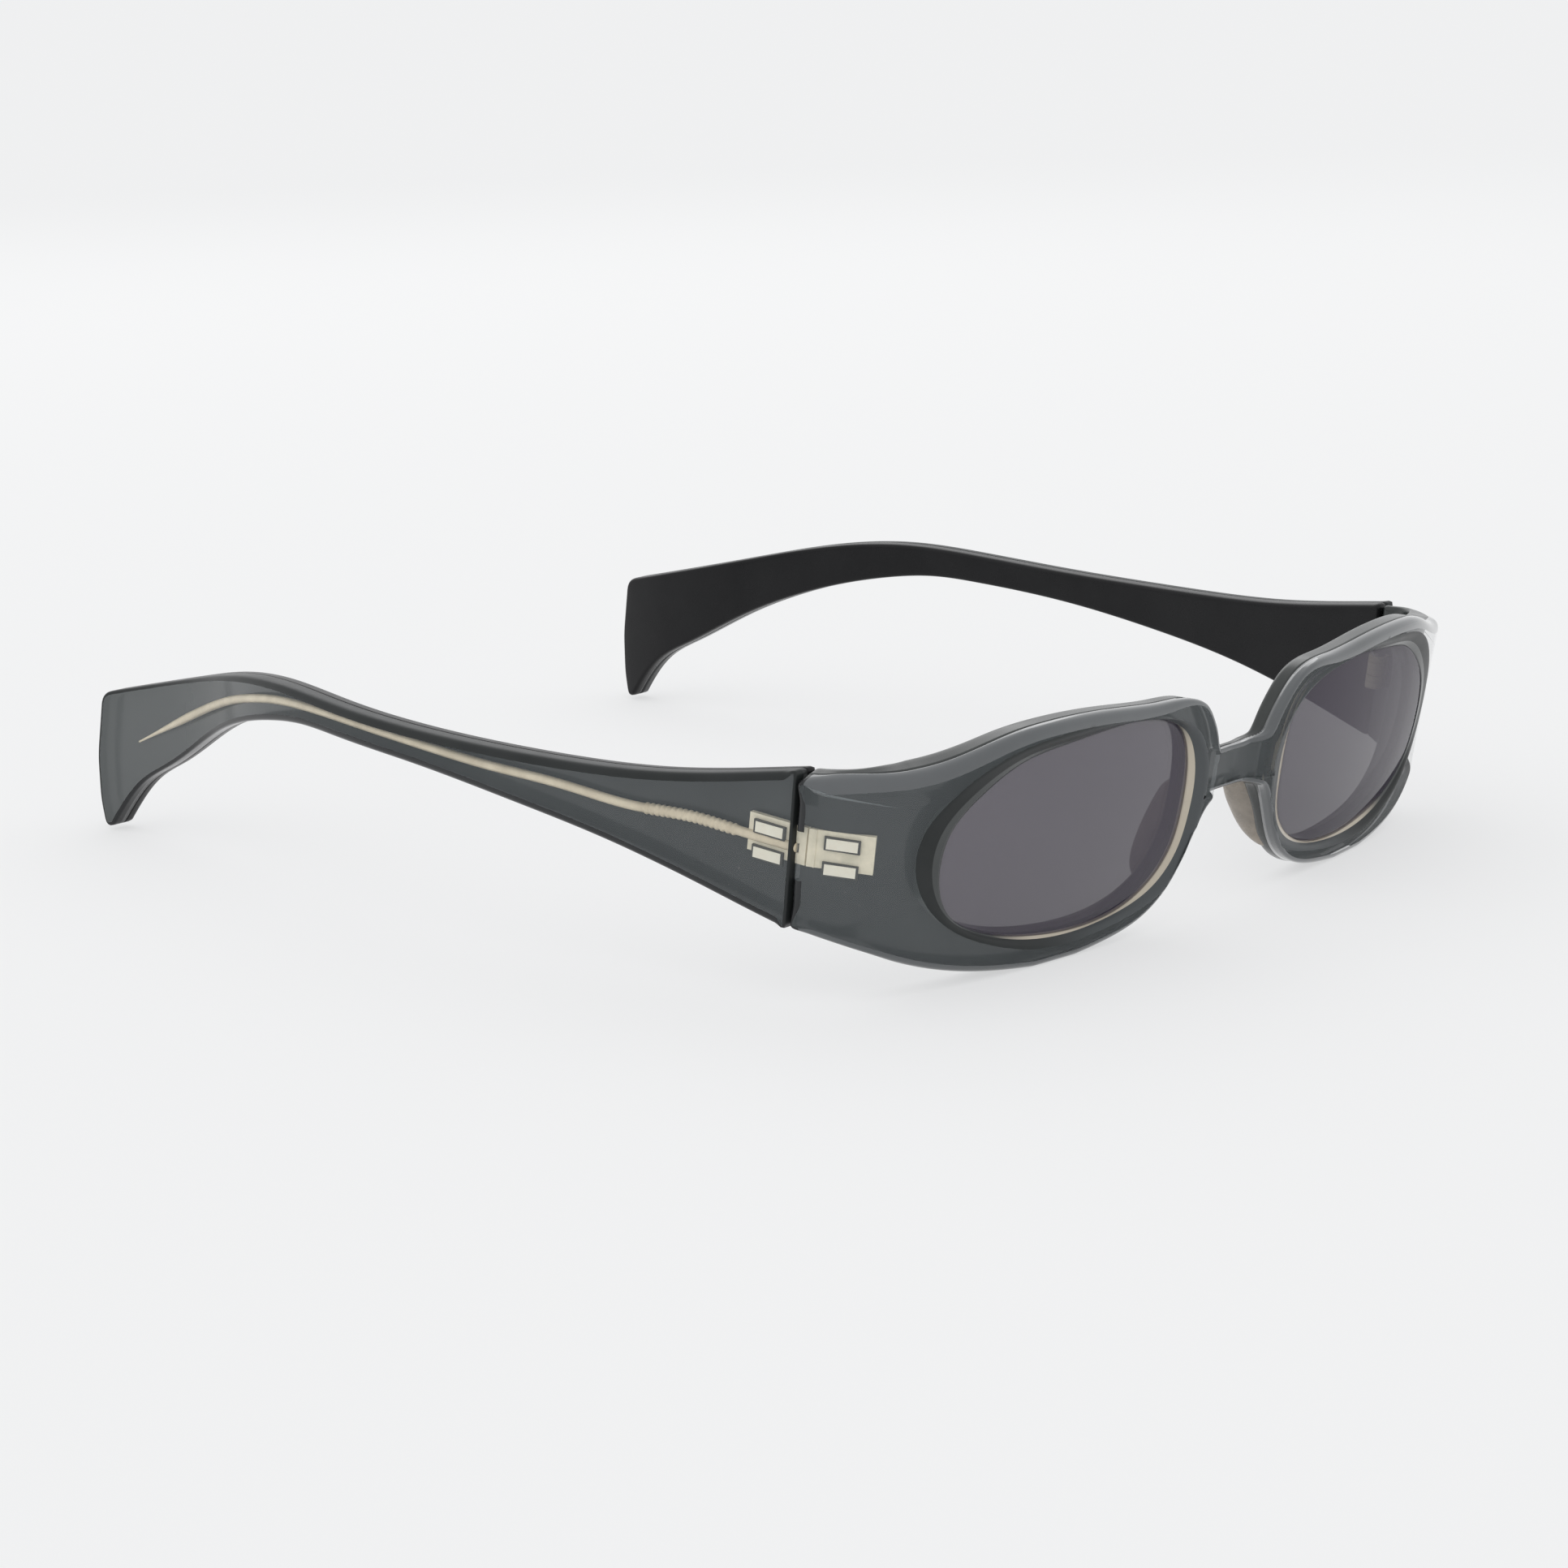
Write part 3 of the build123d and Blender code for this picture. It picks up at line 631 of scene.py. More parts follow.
def back_layer_rows():
    """The inner layer of the front as rings round the opening: its covered side, the outer
    wall, the rounded inner edge, the back face and the opening's wall."""
    round_in = back_edge_size()
    depth = front_depth(outline[:, 0])
    wall = [opening_on(opening, share) for share in BACK_WALL]
    top = charted(opening_on(opening, LAYER_MEETING)[:, :2], FACE_LAYER)
    cover = charted(outline, FACE_LAYER)
    side = charted(outline, depth - round_in)
    corner = charted(outline, depth)
    rim_row = with_share(outline + aside * round_in[:, None], 1.0)
    end = towards(wall[0], rim_row, BACK_WALL_ROUND)
    return np.array([
        top, *between(top, cover, 8), *between(cover, side, 4),
        *eased_rows(side, corner, rim_row, 7), *between(rim_row, end, 12),
        *eased_rows(end, wall[0], wall[1], 4), *wall[2:],
    ])


def merged(mesh, turned_out=False):
    """Merges points that share a place, and may turn the faces outwards."""
    shape = bmesh.new()
    shape.from_mesh(mesh)
    bmesh.ops.remove_doubles(shape, verts=shape.verts, dist=MERGE_REACH)
    if turned_out:
        bmesh.ops.recalc_face_normals(shape, faces=shape.faces)
    shape.to_mesh(mesh)
    shape.free()


def placed(name, data):
    """An object for a mesh, a lamp or a camera, in the scene."""
    made = bpy.data.objects.new(name, data)
    bpy.context.scene.collection.objects.link(made)
    return made


def mesh_piece(name, grid, half_of_front=False, mirrored=False, finishes=CLEAR):
    """A piece from a grid of places in millimetres whose rows close on themselves: four-sided
    faces between neighbours, whole ends merged, and faces pointing out. In half of the front the
    last row meets the first too, faces in the middle plane are dropped, and the mirrored half
    is joined on there. The finishes are the faces' material numbers, by row and column."""
    rows, columns, _ = grid.shape
    index = np.arange(rows * columns).reshape(rows, columns)
    upper = np.roll(index, -1, axis=0) if half_of_front else index[1:]
    lower = index if half_of_front else index[:-1]
    upper_next = np.roll(upper, -1, axis=1)
    lower_next = np.roll(lower, -1, axis=1)
    faces = np.stack([lower, lower_next, upper_next, upper], -1).reshape(-1, 4)
    finish_of = np.broadcast_to(finishes, lower.shape).ravel()
    places = grid.reshape(-1, 3) * MM
    if half_of_front:
        in_middle = np.abs(places[:, 0]) < MERGE_REACH / 2
        kept = ~in_middle[faces].all(axis=1)
        faces, finish_of = faces[kept], finish_of[kept]
        places[in_middle, 0] = 0
        faces = np.vstack([faces, faces[:, ::-1] + len(places)])
        finish_of = np.tile(finish_of, 2)
        places = np.vstack([places, places * (-1, 1, 1)])
    if mirrored:
        places = places * (-1, 1, 1)
        faces = faces[:, ::-1]
    mesh = bpy.data.meshes.new(name)
    mesh.from_pydata(places.tolist(), [], faces.tolist())
    mesh.polygons.foreach_set("material_index", finish_of)
    merged(mesh, turned_out=True)
    mesh.shade_smooth()
    return placed(name, mesh)


def front_grid(rows):
    """Places in millimetres of rows of reach, height and share: the plan place, lowered forwards
    by the tilt, and run on or back so that the end lies in the seam's leaning plane. The end
    piece's top slopes down to its face, and the bridge is set back, its back edge less."""
    reach, height, share = np.moveaxis(rows, -1, 0)
    slope = TOP_SLOPE * smooth_step(*TOP_SLOPE_REACH, reach)
    height = height - slope * smooth_step(*TOP_SLOPE_HEIGHT, height) * (1 - share)
    seam = seam_y + SEAM_SET_BACK - SEAM_LEAN * (height - HINGE_HEIGHT)
    end = front_plan(np.full(reach.shape, face_length), share)[1]
    run = (seam + FRONT_TILT * height - end) / math.sin(math.radians(TEMPLE_HEADING))
    near_end = smooth_step(face_length - SEAM_EASE, face_length, reach)
    x, y = front_plan(reach + near_end * run, share)
    outer, inner = BRIDGE_REACH + BRIDGE_EASE, BRIDGE_REACH - BRIDGE_EASE
    set_back = BRIDGE_SET_BACK * smooth_step(outer, inner, np.abs(x)) * (1 - BRIDGE_SPARED * share)
    return np.stack([x, y + front_y - FRONT_TILT * height + set_back, height], -1)


# Temples: tables of the outer and the inner plan line over the length
temple_chain = ((half_width, seam_y + SEAM_GAP), TEMPLE_HEADING, TEMPLE_ARCS)
temple_reach = np.linspace(-8, 150, 3161)
outer_x, outer_y, temple_heading = walk(temple_chain, temple_reach)
inner_x = outer_x - TEMPLE_DEPTH * np.sin(temple_heading)
inner_y = outer_y + TEMPLE_DEPTH * np.cos(temple_heading)
temple_start = seam_y + SEAM_SET_BACK + SEAM_GAP
temple_tip = seam_y + TEMPLE_LENGTH


def temple_grid(rows):
    """Places in millimetres of rows of place along, height and share, in the left temple: x lies
    between the outer and the inner line at the same y, which leans with the seam near it."""
    along, height, share = np.moveaxis(rows, -1, 0)
    eased = 1 - smooth_step(0, SEAM_EASE, along - temple_start)
    y = along - SEAM_LEAN * (height - HINGE_HEIGHT) * eased
    outer = np.interp(y, outer_y, outer_x)
    inner = np.interp(y, inner_y, inner_x)
    return np.stack([outer + (inner - outer) * share, y + front_y, height], -1)


def temple_loop():
    """The temple's outline from the side, clockwise from the seam's top, its directions inwards,
    and the place on the spine, midway between the edges, that each of its places closes on."""
    sizes = (TEMPLE_LENGTH, TEMPLE_HEIGHT, seam_y)
    top = spline(shares(TEMPLE_TOP, *sizes), CURVE_POINTS)
    low = spline(shares(TEMPLE_BOTTOM, *sizes), CURVE_POINTS)
    end = shares(TEMPLE_END, *sizes)
    span = np.linspace(temple_start + SPAN_ENDS[0], temple_tip - SPAN_ENDS[1], TEMPLE_STATIONS)
    over = np.interp(span, top[:, 0], top[:, 1])
    under = np.interp(span, low[::-1, 0], low[::-1, 1])
    top_end = top[top[:, 0] > span[-1]]
    low_end = low[low[:, 0] > span[-1]]
    tip_lines = [np.vstack([[span[-1], over[-1]], top_end])]
    tip_lines += [evenly(end[k : k + 2], 60) for k in range(3)]
    tip_lines += [np.vstack([end[3:], low_end[1:], [span[-1], under[-1]]])]
    tip = evenly(rounded_chain(tip_lines, TIP_CORNER), 70)[1:-1]
    corner_top = (temple_start, np.interp(temple_start, top[:, 0], top[:, 1]))
    corner_low = (temple_start, np.interp(temple_start, low[::-1, 0], low[::-1, 1]))
    seam_lines = [
        np.linspace((span[0], under[0]), corner_low, 20),
        np.linspace(corner_low, corner_top, SEAM_POINTS),
        np.linspace(corner_top, (span[0], over[0]), 20),
    ]
    seam = evenly(rounded_chain(seam_lines, TEMPLE_SEAM_CORNER), 40)[1:-1]
    loop = np.vstack([
        np.stack([span, over], -1), tip, np.stack([span, under], -1)[::-1], seam,
    ])
    held = np.clip(loop[:, 0], temple_start + SPINE_ENDS[0], temple_tip - SPINE_ENDS[1])
    middle = (np.interp(held, span, over) + np.interp(held, span, under)) / 2
    return loop, inward(loop), np.stack([held, middle], -1)


temple_outline, temple_aside, temple_spine = temple_loop()


def temple_rows(first, last, round_first, round_last):
    """A layer of a temple between two depths as rings round its outline, from the spine over
    one side, the rounded edge, the wall and the other edge back to the spine. The count of rows
    in each band follows, for the finishes."""
    def level(flat, depth):
        return with_share(flat, depth / TEMPLE_DEPTH)

    spine = level(temple_spine, first)
    at_seam = smooth_step(temple_start + 1.8, temple_start + 0.2, temple_outline[:, 0])
    at_tip = smooth_step(*TIP_PART, (temple_outline[:, 0] - seam_y) / TEMPLE_LENGTH)
    round_in = round_first * (1 - TIP_FLATTER * at_tip)
    round_in = round_in + (min(round_first, TEMPLE_SEAM_ROUND) - round_in) * at_seam
    rim = level(temple_outline + temple_aside * round_in[:, None], first)
    side = level(temple_outline, first + round_in)
    low_side = level(temple_outline, last - round_last)
    low_rim = level(temple_outline + temple_aside * min(round_last, INNER_ROUND_ACROSS), last)
    bands = [
        [spine] + between(spine, rim, 8),
        eased_rows(rim, level(temple_outline, first), side, 7) if round_first else [],
        between(side, low_side, 2),
        eased_rows(low_side, level(temple_outline, last), low_rim, 7) if round_last else [],
        between(low_rim, level(temple_spine, last), 8),
    ]
    return np.array(sum(bands, [])), [len(band) for band in bands]


def lens_grid():
    """A lens as rings from its middle out and back: both faces lie on spheres about one middle,
    out = sqrt(r^2 - a^2 - b^2) - r, and the edge is bedded in the rim."""
    ring = spline(shares(LENS_OUTLINE, *HALF_OPENING), LENS_STATIONS, closed=True)
    ring = ring * (1 + LENS_BED / np.linalg.norm(ring, axis=1))[:, None]
    share = np.concatenate([np.linspace(0, 1, LENS_RINGS), np.linspace(1, 0, LENS_RINGS)])
    inner = np.repeat([0, LENS_THICKNESS], LENS_RINGS)
    flat = ring[None] * share[:, None, None]
    squared = np.sum(flat**2, axis=-1)
    out = np.sqrt((LENS_RADIUS - inner[:, None]) ** 2 - squared) - LENS_RADIUS
    return lens_space(flat, out)


def wire_grid():
    """A core wire as circles round its line, with a ridge each pitch along the knurled part,
    drawn out to its tip."""
    along, height = shares(WIRE_LINE, TEMPLE_LENGTH, TEMPLE_HEIGHT).T
    line_x, line_y, heading = walk(temple_chain, np.concatenate([WIRE_SHANK, along]))
    line_x = line_x - WIRE_DEPTH * np.sin(heading)
    line_y = line_y + WIRE_DEPTH * np.cos(heading)
    shank_y = line_y[: len(WIRE_SHANK)]
    drop = WIRE_DROP * math.hypot(1, HINGE_LEAN)
    shank_height = HINGE_HEIGHT + HINGE_LEAN * (shank_y - seam_y) - drop
    heights = np.concatenate([shank_height, height])
    line = spline(np.stack([line_x, line_y + front_y, heights], -1), CURVE_POINTS)
    length = lengths(line)
    ahead = unit(np.gradient(line, axis=0))
    side = unit(np.cross(ahead, (0, 0, 1)))
    up = np.cross(side, ahead)
    drawn = smooth_step(length[-1] - WIRE_DRAWN, length[-1], length)
    radius = WIRE_RADIUS - (WIRE_RADIUS - WIRE_END_RADIUS) * drawn
    ring = (length - KNURL_START) / KNURL_PITCH
    knurled = (ring > 0) & (ring < KNURL_RINGS)
    radius = radius + np.where(knurled, KNURL_HEIGHT * (0.5 - 0.5 * np.cos(2 * math.pi * ring)), 0)
    radius[0] = radius[-1] = 0
    line[0], line[-1] = line[1], line[-2]
    turn = np.linspace(0, 2 * math.pi, WIRE_SIDES, endpoint=False)[None, :, None]
    radius = radius[:, None, None]
    return (
        line[:, None]
        + radius * np.cos(turn) * side[:, None]
        + radius * np.sin(turn) * up[:, None]
    )


def pad_grid():
    """A nose pad as ellipses between a root line in the rim and a free edge line that splays
    outwards: place = root (1 + cos v) / 2 + edge (1 - cos v) / 2 + thickness sin v, all of them
    shrinking at both ends by (1 - (2u - 1)^8)^(1/2)."""
    root = spline(PAD_ROOT, PAD_STATIONS)
    edge = spline(PAD_EDGE, PAD_STATIONS)
    u = np.linspace(0, 1, PAD_STATIONS)
    size = np.sqrt(1 - np.abs(2 * u - 1) ** 8)[:, None, None]
    across = edge - root
    along = np.gradient(root + edge, axis=0)
    flat = unit(np.cross(across, along))
    v = np.linspace(0, 2 * math.pi, PAD_SIDES, endpoint=False)[None, :, None]
    middle = ((root + edge) / 2)[:, None]
    reach = -across[:, None] / 2 * np.cos(v)
    return middle + size * (reach + PAD_THICKNESS / 2 * np.sin(v) * flat[:, None])


# Materials
def finish_named(name, colour, roughness, metallic=0.0, specular=0.5, alpha=1.0, coat=0.0):
    """A material with one Principled shader whose even values are set on its own sockets."""
    finish = bpy.data.materials.new(name)
    finish.use_nodes = True
    shader = finish.node_tree.nodes["Principled BSDF"]
    for socket, value in (
        ("Base Color", (*colour, 1)), ("Roughness", roughness), ("Metallic", metallic),
        ("Specular IOR Level", specular), ("Alpha", alpha), ("Coat Weight", coat),
        ("Coat Roughness", COAT_ROUGHNESS),
    ):
        shader.inputs[socket].default_value = value
    return finish, shader


def node(finish, kind, **values):
    """A shader node of a finish, with its values and input defaults set by name."""
    made = finish.node_tree.nodes.new("ShaderNode" + kind)
    for key, value in values.items():
        if hasattr(made, key):
            setattr(made, key, value)
        else:
            made.inputs[key.replace("_", " ")].default_value = value
    return made


def link(*joints):
    """Joins nodes, each joint given as a node, its output, the next node and its input."""
    for start, output, end, socket in joints:
        start.id_data.links.new(start.outputs[output], end.inputs[socket])


def cloudy(finish, shader, light, dark, size, seed):
    """Colour that drifts between two shades, by noise in the piece's own coordinates."""
    place = node(finish, "TexCoord")
    shift = node(finish, "Mapping", Location=(seed, seed / 2, -seed))
    cloud = node(finish, "TexNoise", Scale=1 / size, Detail=4.0, Roughness=0.6)
    ramp = node(finish, "ValToRGB")
    for end, position, shade in zip(ramp.color_ramp.elements, RAMP_ENDS, (dark, light)):
        end.position = position
        end.color = (*shade, 1)
    link(
        (place, "Object", shift, "Vector"),
        (shift, "Vector", cloud, "Vector"),
        (cloud, "Fac", ramp, "Fac"),
        (ramp, "Color", shader, "Base Color"),
    )
    return place, ramp.outputs["Color"]


def worn(finish, shader, place, size, height, low, high):
    """Roughness and a shallow bump from fine noise, as handling leaves on a polished face."""
    grain = node(finish, "TexNoise", Scale=1 / size, Detail=6.0, Roughness=0.65)
    spread = node(finish, "MapRange", To_Min=low, To_Max=high)
    bump = node(finish, "Bump", Strength=0.12, Distance=height)
    link(
        (place, "Object", grain, "Vector"),
        (grain, "Fac", spread, "Value"),
        (spread, "Result", shader, "Roughness"),
        (grain, "Fac", bump, "Height"),
        (bump, "Normal", shader, "Normal"),
    )


def sided_place(finish, place):
    """Object coordinates with x taken without its sign, so both sides of the part look alike."""
    parts = node(finish, "SeparateXYZ")
    unsigned = node(finish, "Math", operation="ABSOLUTE")
    joined = node(finish, "CombineXYZ")
    link(
        (place, "Object", parts, "Vector"),
        (parts, "X", unsigned, 0),
        (unsigned, "Value", joined, "X"),
        (parts, "Y", joined, "Y"),
        (parts, "Z", joined, "Z"),
    )
    return joined


def blended(finish, shader, share, first, last):
    """Base colour that goes from the first socket's colour to the last one with a share. The
    blend's socket is handed back, so that another can follow it."""
    blend = node(finish, "Mix", data_type="RGBA")
    start, end = [socket for socket in blend.inputs if socket.type == "RGBA"]
    made = [socket for socket in blend.outputs if socket.type == "RGBA"][0]
    end.default_value = (*last, 1)
    links = finish.node_tree.links
    links.new(share, blend.inputs["Factor"])
    links.new(first, start)
    links.new(made, shader.inputs["Base Color"])
    return made


def shaded_along(finish, shader, place, first, direction, start, end, last):
    """Blends the first colour into the last along a direction: the share is the smooth step of
    the dot product of the unsigned place with the direction, from start to end in metres."""
    sided = sided_place(finish, place)
    reach = node(finish, "VectorMath", operation="DOT_PRODUCT")
    reach.inputs[1].default_value = direction
    share = node(finish, "MapRange", From_Min=start, From_Max=end)
    share.interpolation_type = "SMOOTHSTEP"
    link((sided, "Vector", reach, 0), (reach, "Value", share, "Value"))
    return blended(finish, shader, share.outputs["Result"], first, last)


def speckled(finish, shader, place, first, colour):
    """Specks round the hinge: a share of the cells of a fine Voronoi field carries a dot, and
    the dots fade out with the distance from the hinge."""
    sided = sided_place(finish, place)
    cells = node(finish, "TexVoronoi", Scale=SPECK_CELLS)
    dot = node(finish, "MapRange", From_Min=SPECK_EDGE[0], From_Max=SPECK_EDGE[1])
    rare = node(finish, "Math", operation="GREATER_THAN")
    rare.inputs[1].default_value = SPECK_RARE
    red = node(finish, "SeparateColor")
    away = node(finish, "VectorMath", operation="DISTANCE")
    away.inputs[1].default_value = SPECK_MIDDLE
    near = node(finish, "MapRange", From_Min=SPECK_FADE[0], From_Max=SPECK_FADE[1])
    both = node(finish, "Math", operation="MULTIPLY")
    all_three = node(finish, "Math", operation="MULTIPLY")
    link(
        (sided, "Vector", cells, "Vector"),
        (cells, "Distance", dot, "Value"),
        (cells, "Color", red, "Color"),
        (red, "Red", rare, 0),
        (sided, "Vector", away, 0),
        (away, "Value", near, "Value"),
        (dot, "Result", both, 0),
        (rare, "Value", both, 1),
        (both, "Value", all_three, 0),
        (near, "Result", all_three, 1),
    )
    blended(finish, shader, all_three.outputs["Value"], first, colour)


def drifting(
    name, light, dark, patch, seed, rough, grain=0.003, dent=0.000001, along=None, specks=None,
    **values
):
    """A finish that drifts between two shades in patches, with a roughness between two values
    and a grain with dents, its lengths in metres. It may turn to a colour along a direction,
    given as direction, start, end and colour, and carry specks of another."""
    finish, shader = finish_named(name, light, rough[0], **values)
    place, colour = cloudy(finish, shader, light, dark, patch, seed)
    worn(finish, shader, place, grain, dent, *rough)
    if along:
        colour = shaded_along(finish, shader, place, colour, *along)
    if specks:
        speckled(finish, shader, place, colour, specks)
    return finish


grey_acetate = drifting(
    "grey_acetate", (0.495, 0.55, 0.565), (0.41, 0.46, 0.475), patch=0.014, seed=3.0,
    rough=(0.14, 0.24), along=((0, 1, 0), 0.0, 0.085, (0.84, 0.9, 0.9)),
    specks=(1.0, 1.0, 0.95), alpha=0.15, specular=0.6, coat=1.0,
)
rim_acetate = drifting(
    "rim_acetate", (0.08, 0.088, 0.094), (0.062, 0.07, 0.075), patch=0.014, seed=3.0,
    rough=(0.14, 0.24), specular=0.6, coat=1.0,
)
edge_acetate = drifting(
    "edge_acetate", (0.03, 0.032, 0.033), (0.02, 0.021, 0.023), patch=0.01, seed=1.5,
    rough=(0.1, 0.22), specular=0.3,
)
# Painted shade: dark on the dish's temple side, where the scoop's wall faces away from the light,
# turning to the body colour towards the nose; on the temples it is a duller dark edge
painted_shade_and_dull_edge_acetate = drifting(
    "painted_shade_and_dull_edge_acetate", (0.027, 0.03, 0.03), (0.019, 0.022, 0.022), patch=0.01, seed=2.2,
    rough=(0.3, 0.42), along=((-1, 0, 0), -0.04, -0.022, (0.082, 0.09, 0.094)),
    specular=0.25,
)
# Painted light: cream towards the nose and the bottom, where light comes through the clear back
# layer
dish_acetate_with_painted_light = drifting(
    "dish_acetate_with_painted_light", (0.05, 0.056, 0.055), (0.038, 0.043, 0.043), patch=0.008, seed=2.5,
    rough=(0.12, 0.24), along=((-0.62, 0, -0.78), -0.0325, -0.0255, (0.56, 0.5, 0.4)),
    specular=0.6,
)
smoke_acetate = drifting(
    "smoke_acetate", (0.045, 0.05, 0.048), (0.02, 0.024, 0.024), patch=0.009, seed=1.0,
    rough=(0.16, 0.28),
)
pad_acetate = drifting(
    "pad_acetate", (0.4, 0.345, 0.285), (0.2, 0.18, 0.155), patch=0.006, seed=4.0,
    rough=(0.2, 0.34),
)
black_acetate = drifting(
    "black_acetate", (0.014, 0.014, 0.015), (0.009, 0.009, 0.01), patch=0.01, seed=2.0,
    rough=(0.22, 0.34), grain=0.004, specular=0.2,
)
lens_tint = drifting(
    "lens_tint", (0.047, 0.034, 0.062), (0.04, 0.028, 0.053), patch=0.02, seed=5.0,
    rough=(0.03, 0.07), grain=0.004, dent=0.0000005, alpha=0.68,
)
cast = {"grain": 0.0005, "dent": 0.000004}
hinge_metal = drifting(
    "hinge_metal", (0.99, 0.91, 0.71), (0.76, 0.71, 0.54), patch=0.0022, seed=7.0,
    rough=(0.35, 0.55), metallic=0.05, **cast,
)
lug_metal = drifting(
    "lug_metal", (1.0, 0.97, 0.82), (0.96, 0.9, 0.74), patch=0.0015, seed=6.0,
    rough=(0.3, 0.5), **cast,
)
# Painted shadow: the dark finish of the copies round the anchor lugs
painted_lug_shadow = drifting(
    "painted_lug_shadow", (0.045, 0.04, 0.033), (0.02, 0.018, 0.015), patch=0.001, seed=6.5,
    rough=(0.4, 0.6), **cast,
)
wire_metal = drifting(
    "wire_metal", (0.92, 0.81, 0.6), (0.7, 0.6, 0.43), patch=0.003, seed=8.0,
    rough=(0.28, 0.42), metallic=0.1, **cast,
)
screw_steel = drifting(
    "screw_steel", (0.6, 0.6, 0.58), (0.42, 0.42, 0.4), patch=0.0008, seed=9.0,
    rough=(0.25, 0.45), grain=0.0003, dent=0.00001, metallic=1.0,
)

# Finishes of the outer layers, in the order of their places
layer_finishes = (grey_acetate, dish_acetate_with_painted_light, rim_acetate, edge_acetate, painted_shade_and_dull_edge_acetate)


def dress(piece, finishes, body, slot, *nodes):
    """Gives a piece its finishes and body, and lets it stand for its solids, if it does. The slot
    is not used.
    """
    for finish in finishes:
        piece.data.materials.append(finish)
    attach(piece, body)
    if nodes:
        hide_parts(*nodes)


def painted_lug_shadows(node_name, body, heading):
    """Painted shadow round each lug of a leaf, as dark copies: the lugs' own solids, each widened
    about its middle along the leaf's heading in plan and in height, and sunk a little square to
    that."""
    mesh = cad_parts[node_name].data.copy()
    mesh.name = node_name + "_bedding"
    merged(mesh)
    places = np.empty(len(mesh.vertices) * 3)
    mesh.vertices.foreach_get("co", places)
    places = places.reshape(-1, 3)
    middle = places.mean(axis=0)
    hand = math.copysign(1, middle[0])
    turn = math.radians(heading)
    along = np.array([hand * math.cos(turn), math.sin(turn), 0])
    outwards = np.array([hand * along[1], -hand * along[0], 0])
    upper = places[:, 2] > middle[2] + HINGE_LEAN * (places[:, 1] - middle[1])
    for part in (upper, ~upper):
        centre = (places[part].min(axis=0) + places[part].max(axis=0)) / 2
        offset = places[part] - centre
        places[part] += (SHADOW_WIDEN - 1) * (offset @ along)[:, None] * along
        places[part, 2] += (SHADOW_HEIGHTEN - 1) * offset[:, 2]
    places -= SHADOW_SINK * MM * outwards
    mesh.vertices.foreach_set("co", places.ravel())
    mesh.materials.clear()
    dress(placed(node_name + "_bedding", mesh), (painted_lug_shadow,), body, "hinge_metal")


def front_finishes(bands):
    """Each face's finish on the front's outer layer, by ring and column: a band takes one finish,
    and at the seam the rounded edge is dark above and below the hinge plate."""
    # The dish's slope and ridge take the finish with painted shade
    places = np.repeat([DISH, DISH, PAINTED_SHADE_AND_DULL_EDGE, PAINTED_SHADE_AND_DULL_EDGE, CLEAR, RIM, RIM, EDGE], bands)
    dish_foot = sum(bands[:2])
    # Rings at the dish's foot take the painted cream light
    places[dish_foot : dish_foot + DISH_FOOT_RINGS] = DISH
    places = np.tile(places[:, None], (1, len(outline)))
    at_end = outline[:, 0] > face_length - END_FACE
    off_plate = np.abs(outline[:, 1] - HINGE_HEIGHT + PLATE_DROP) > PLATE_REACH
    rounding = slice(sum(bands[:5]), sum(bands[:7]))
    places[rounding, at_end & off_plate] = EDGE
    places[rounding, at_end & ~off_plate] = CLEAR
    return np.roll(places, -1, axis=0)


def temple_finishes(bands):
    """Each face's finish on a temple's outer layer: clear outside, dark round the edge, and
    duller along the top and at the seam."""
    places = np.repeat([CLEAR] + 4 * [EDGE], bands)[1:]
    places = np.tile(places[:, None], (1, len(temple_outline)))
    rounding = slice(bands[0] - 1, sum(bands[:3]) - 1)
    places[rounding, temple_aside[:, 1] < -0.5] = PAINTED_SHADE_AND_DULL_EDGE
    places[rounding, temple_outline[:, 0] < temple_start + 0.1] = PAINTED_SHADE_AND_DULL_EDGE
    return places


rows, bands = face_layer_rows()
finishes = front_finishes(bands)
face = mesh_piece("front_face", front_grid(rows), half_of_front=True, finishes=finishes)
dress(face, layer_finishes, "front", "grey_acetate", "front_face_layer")
back = mesh_piece("front_back", front_grid(back_layer_rows()), half_of_front=True)
dress(back, (smoke_acetate,), "front", "clear_smoke_acetate", "front_back_layer")

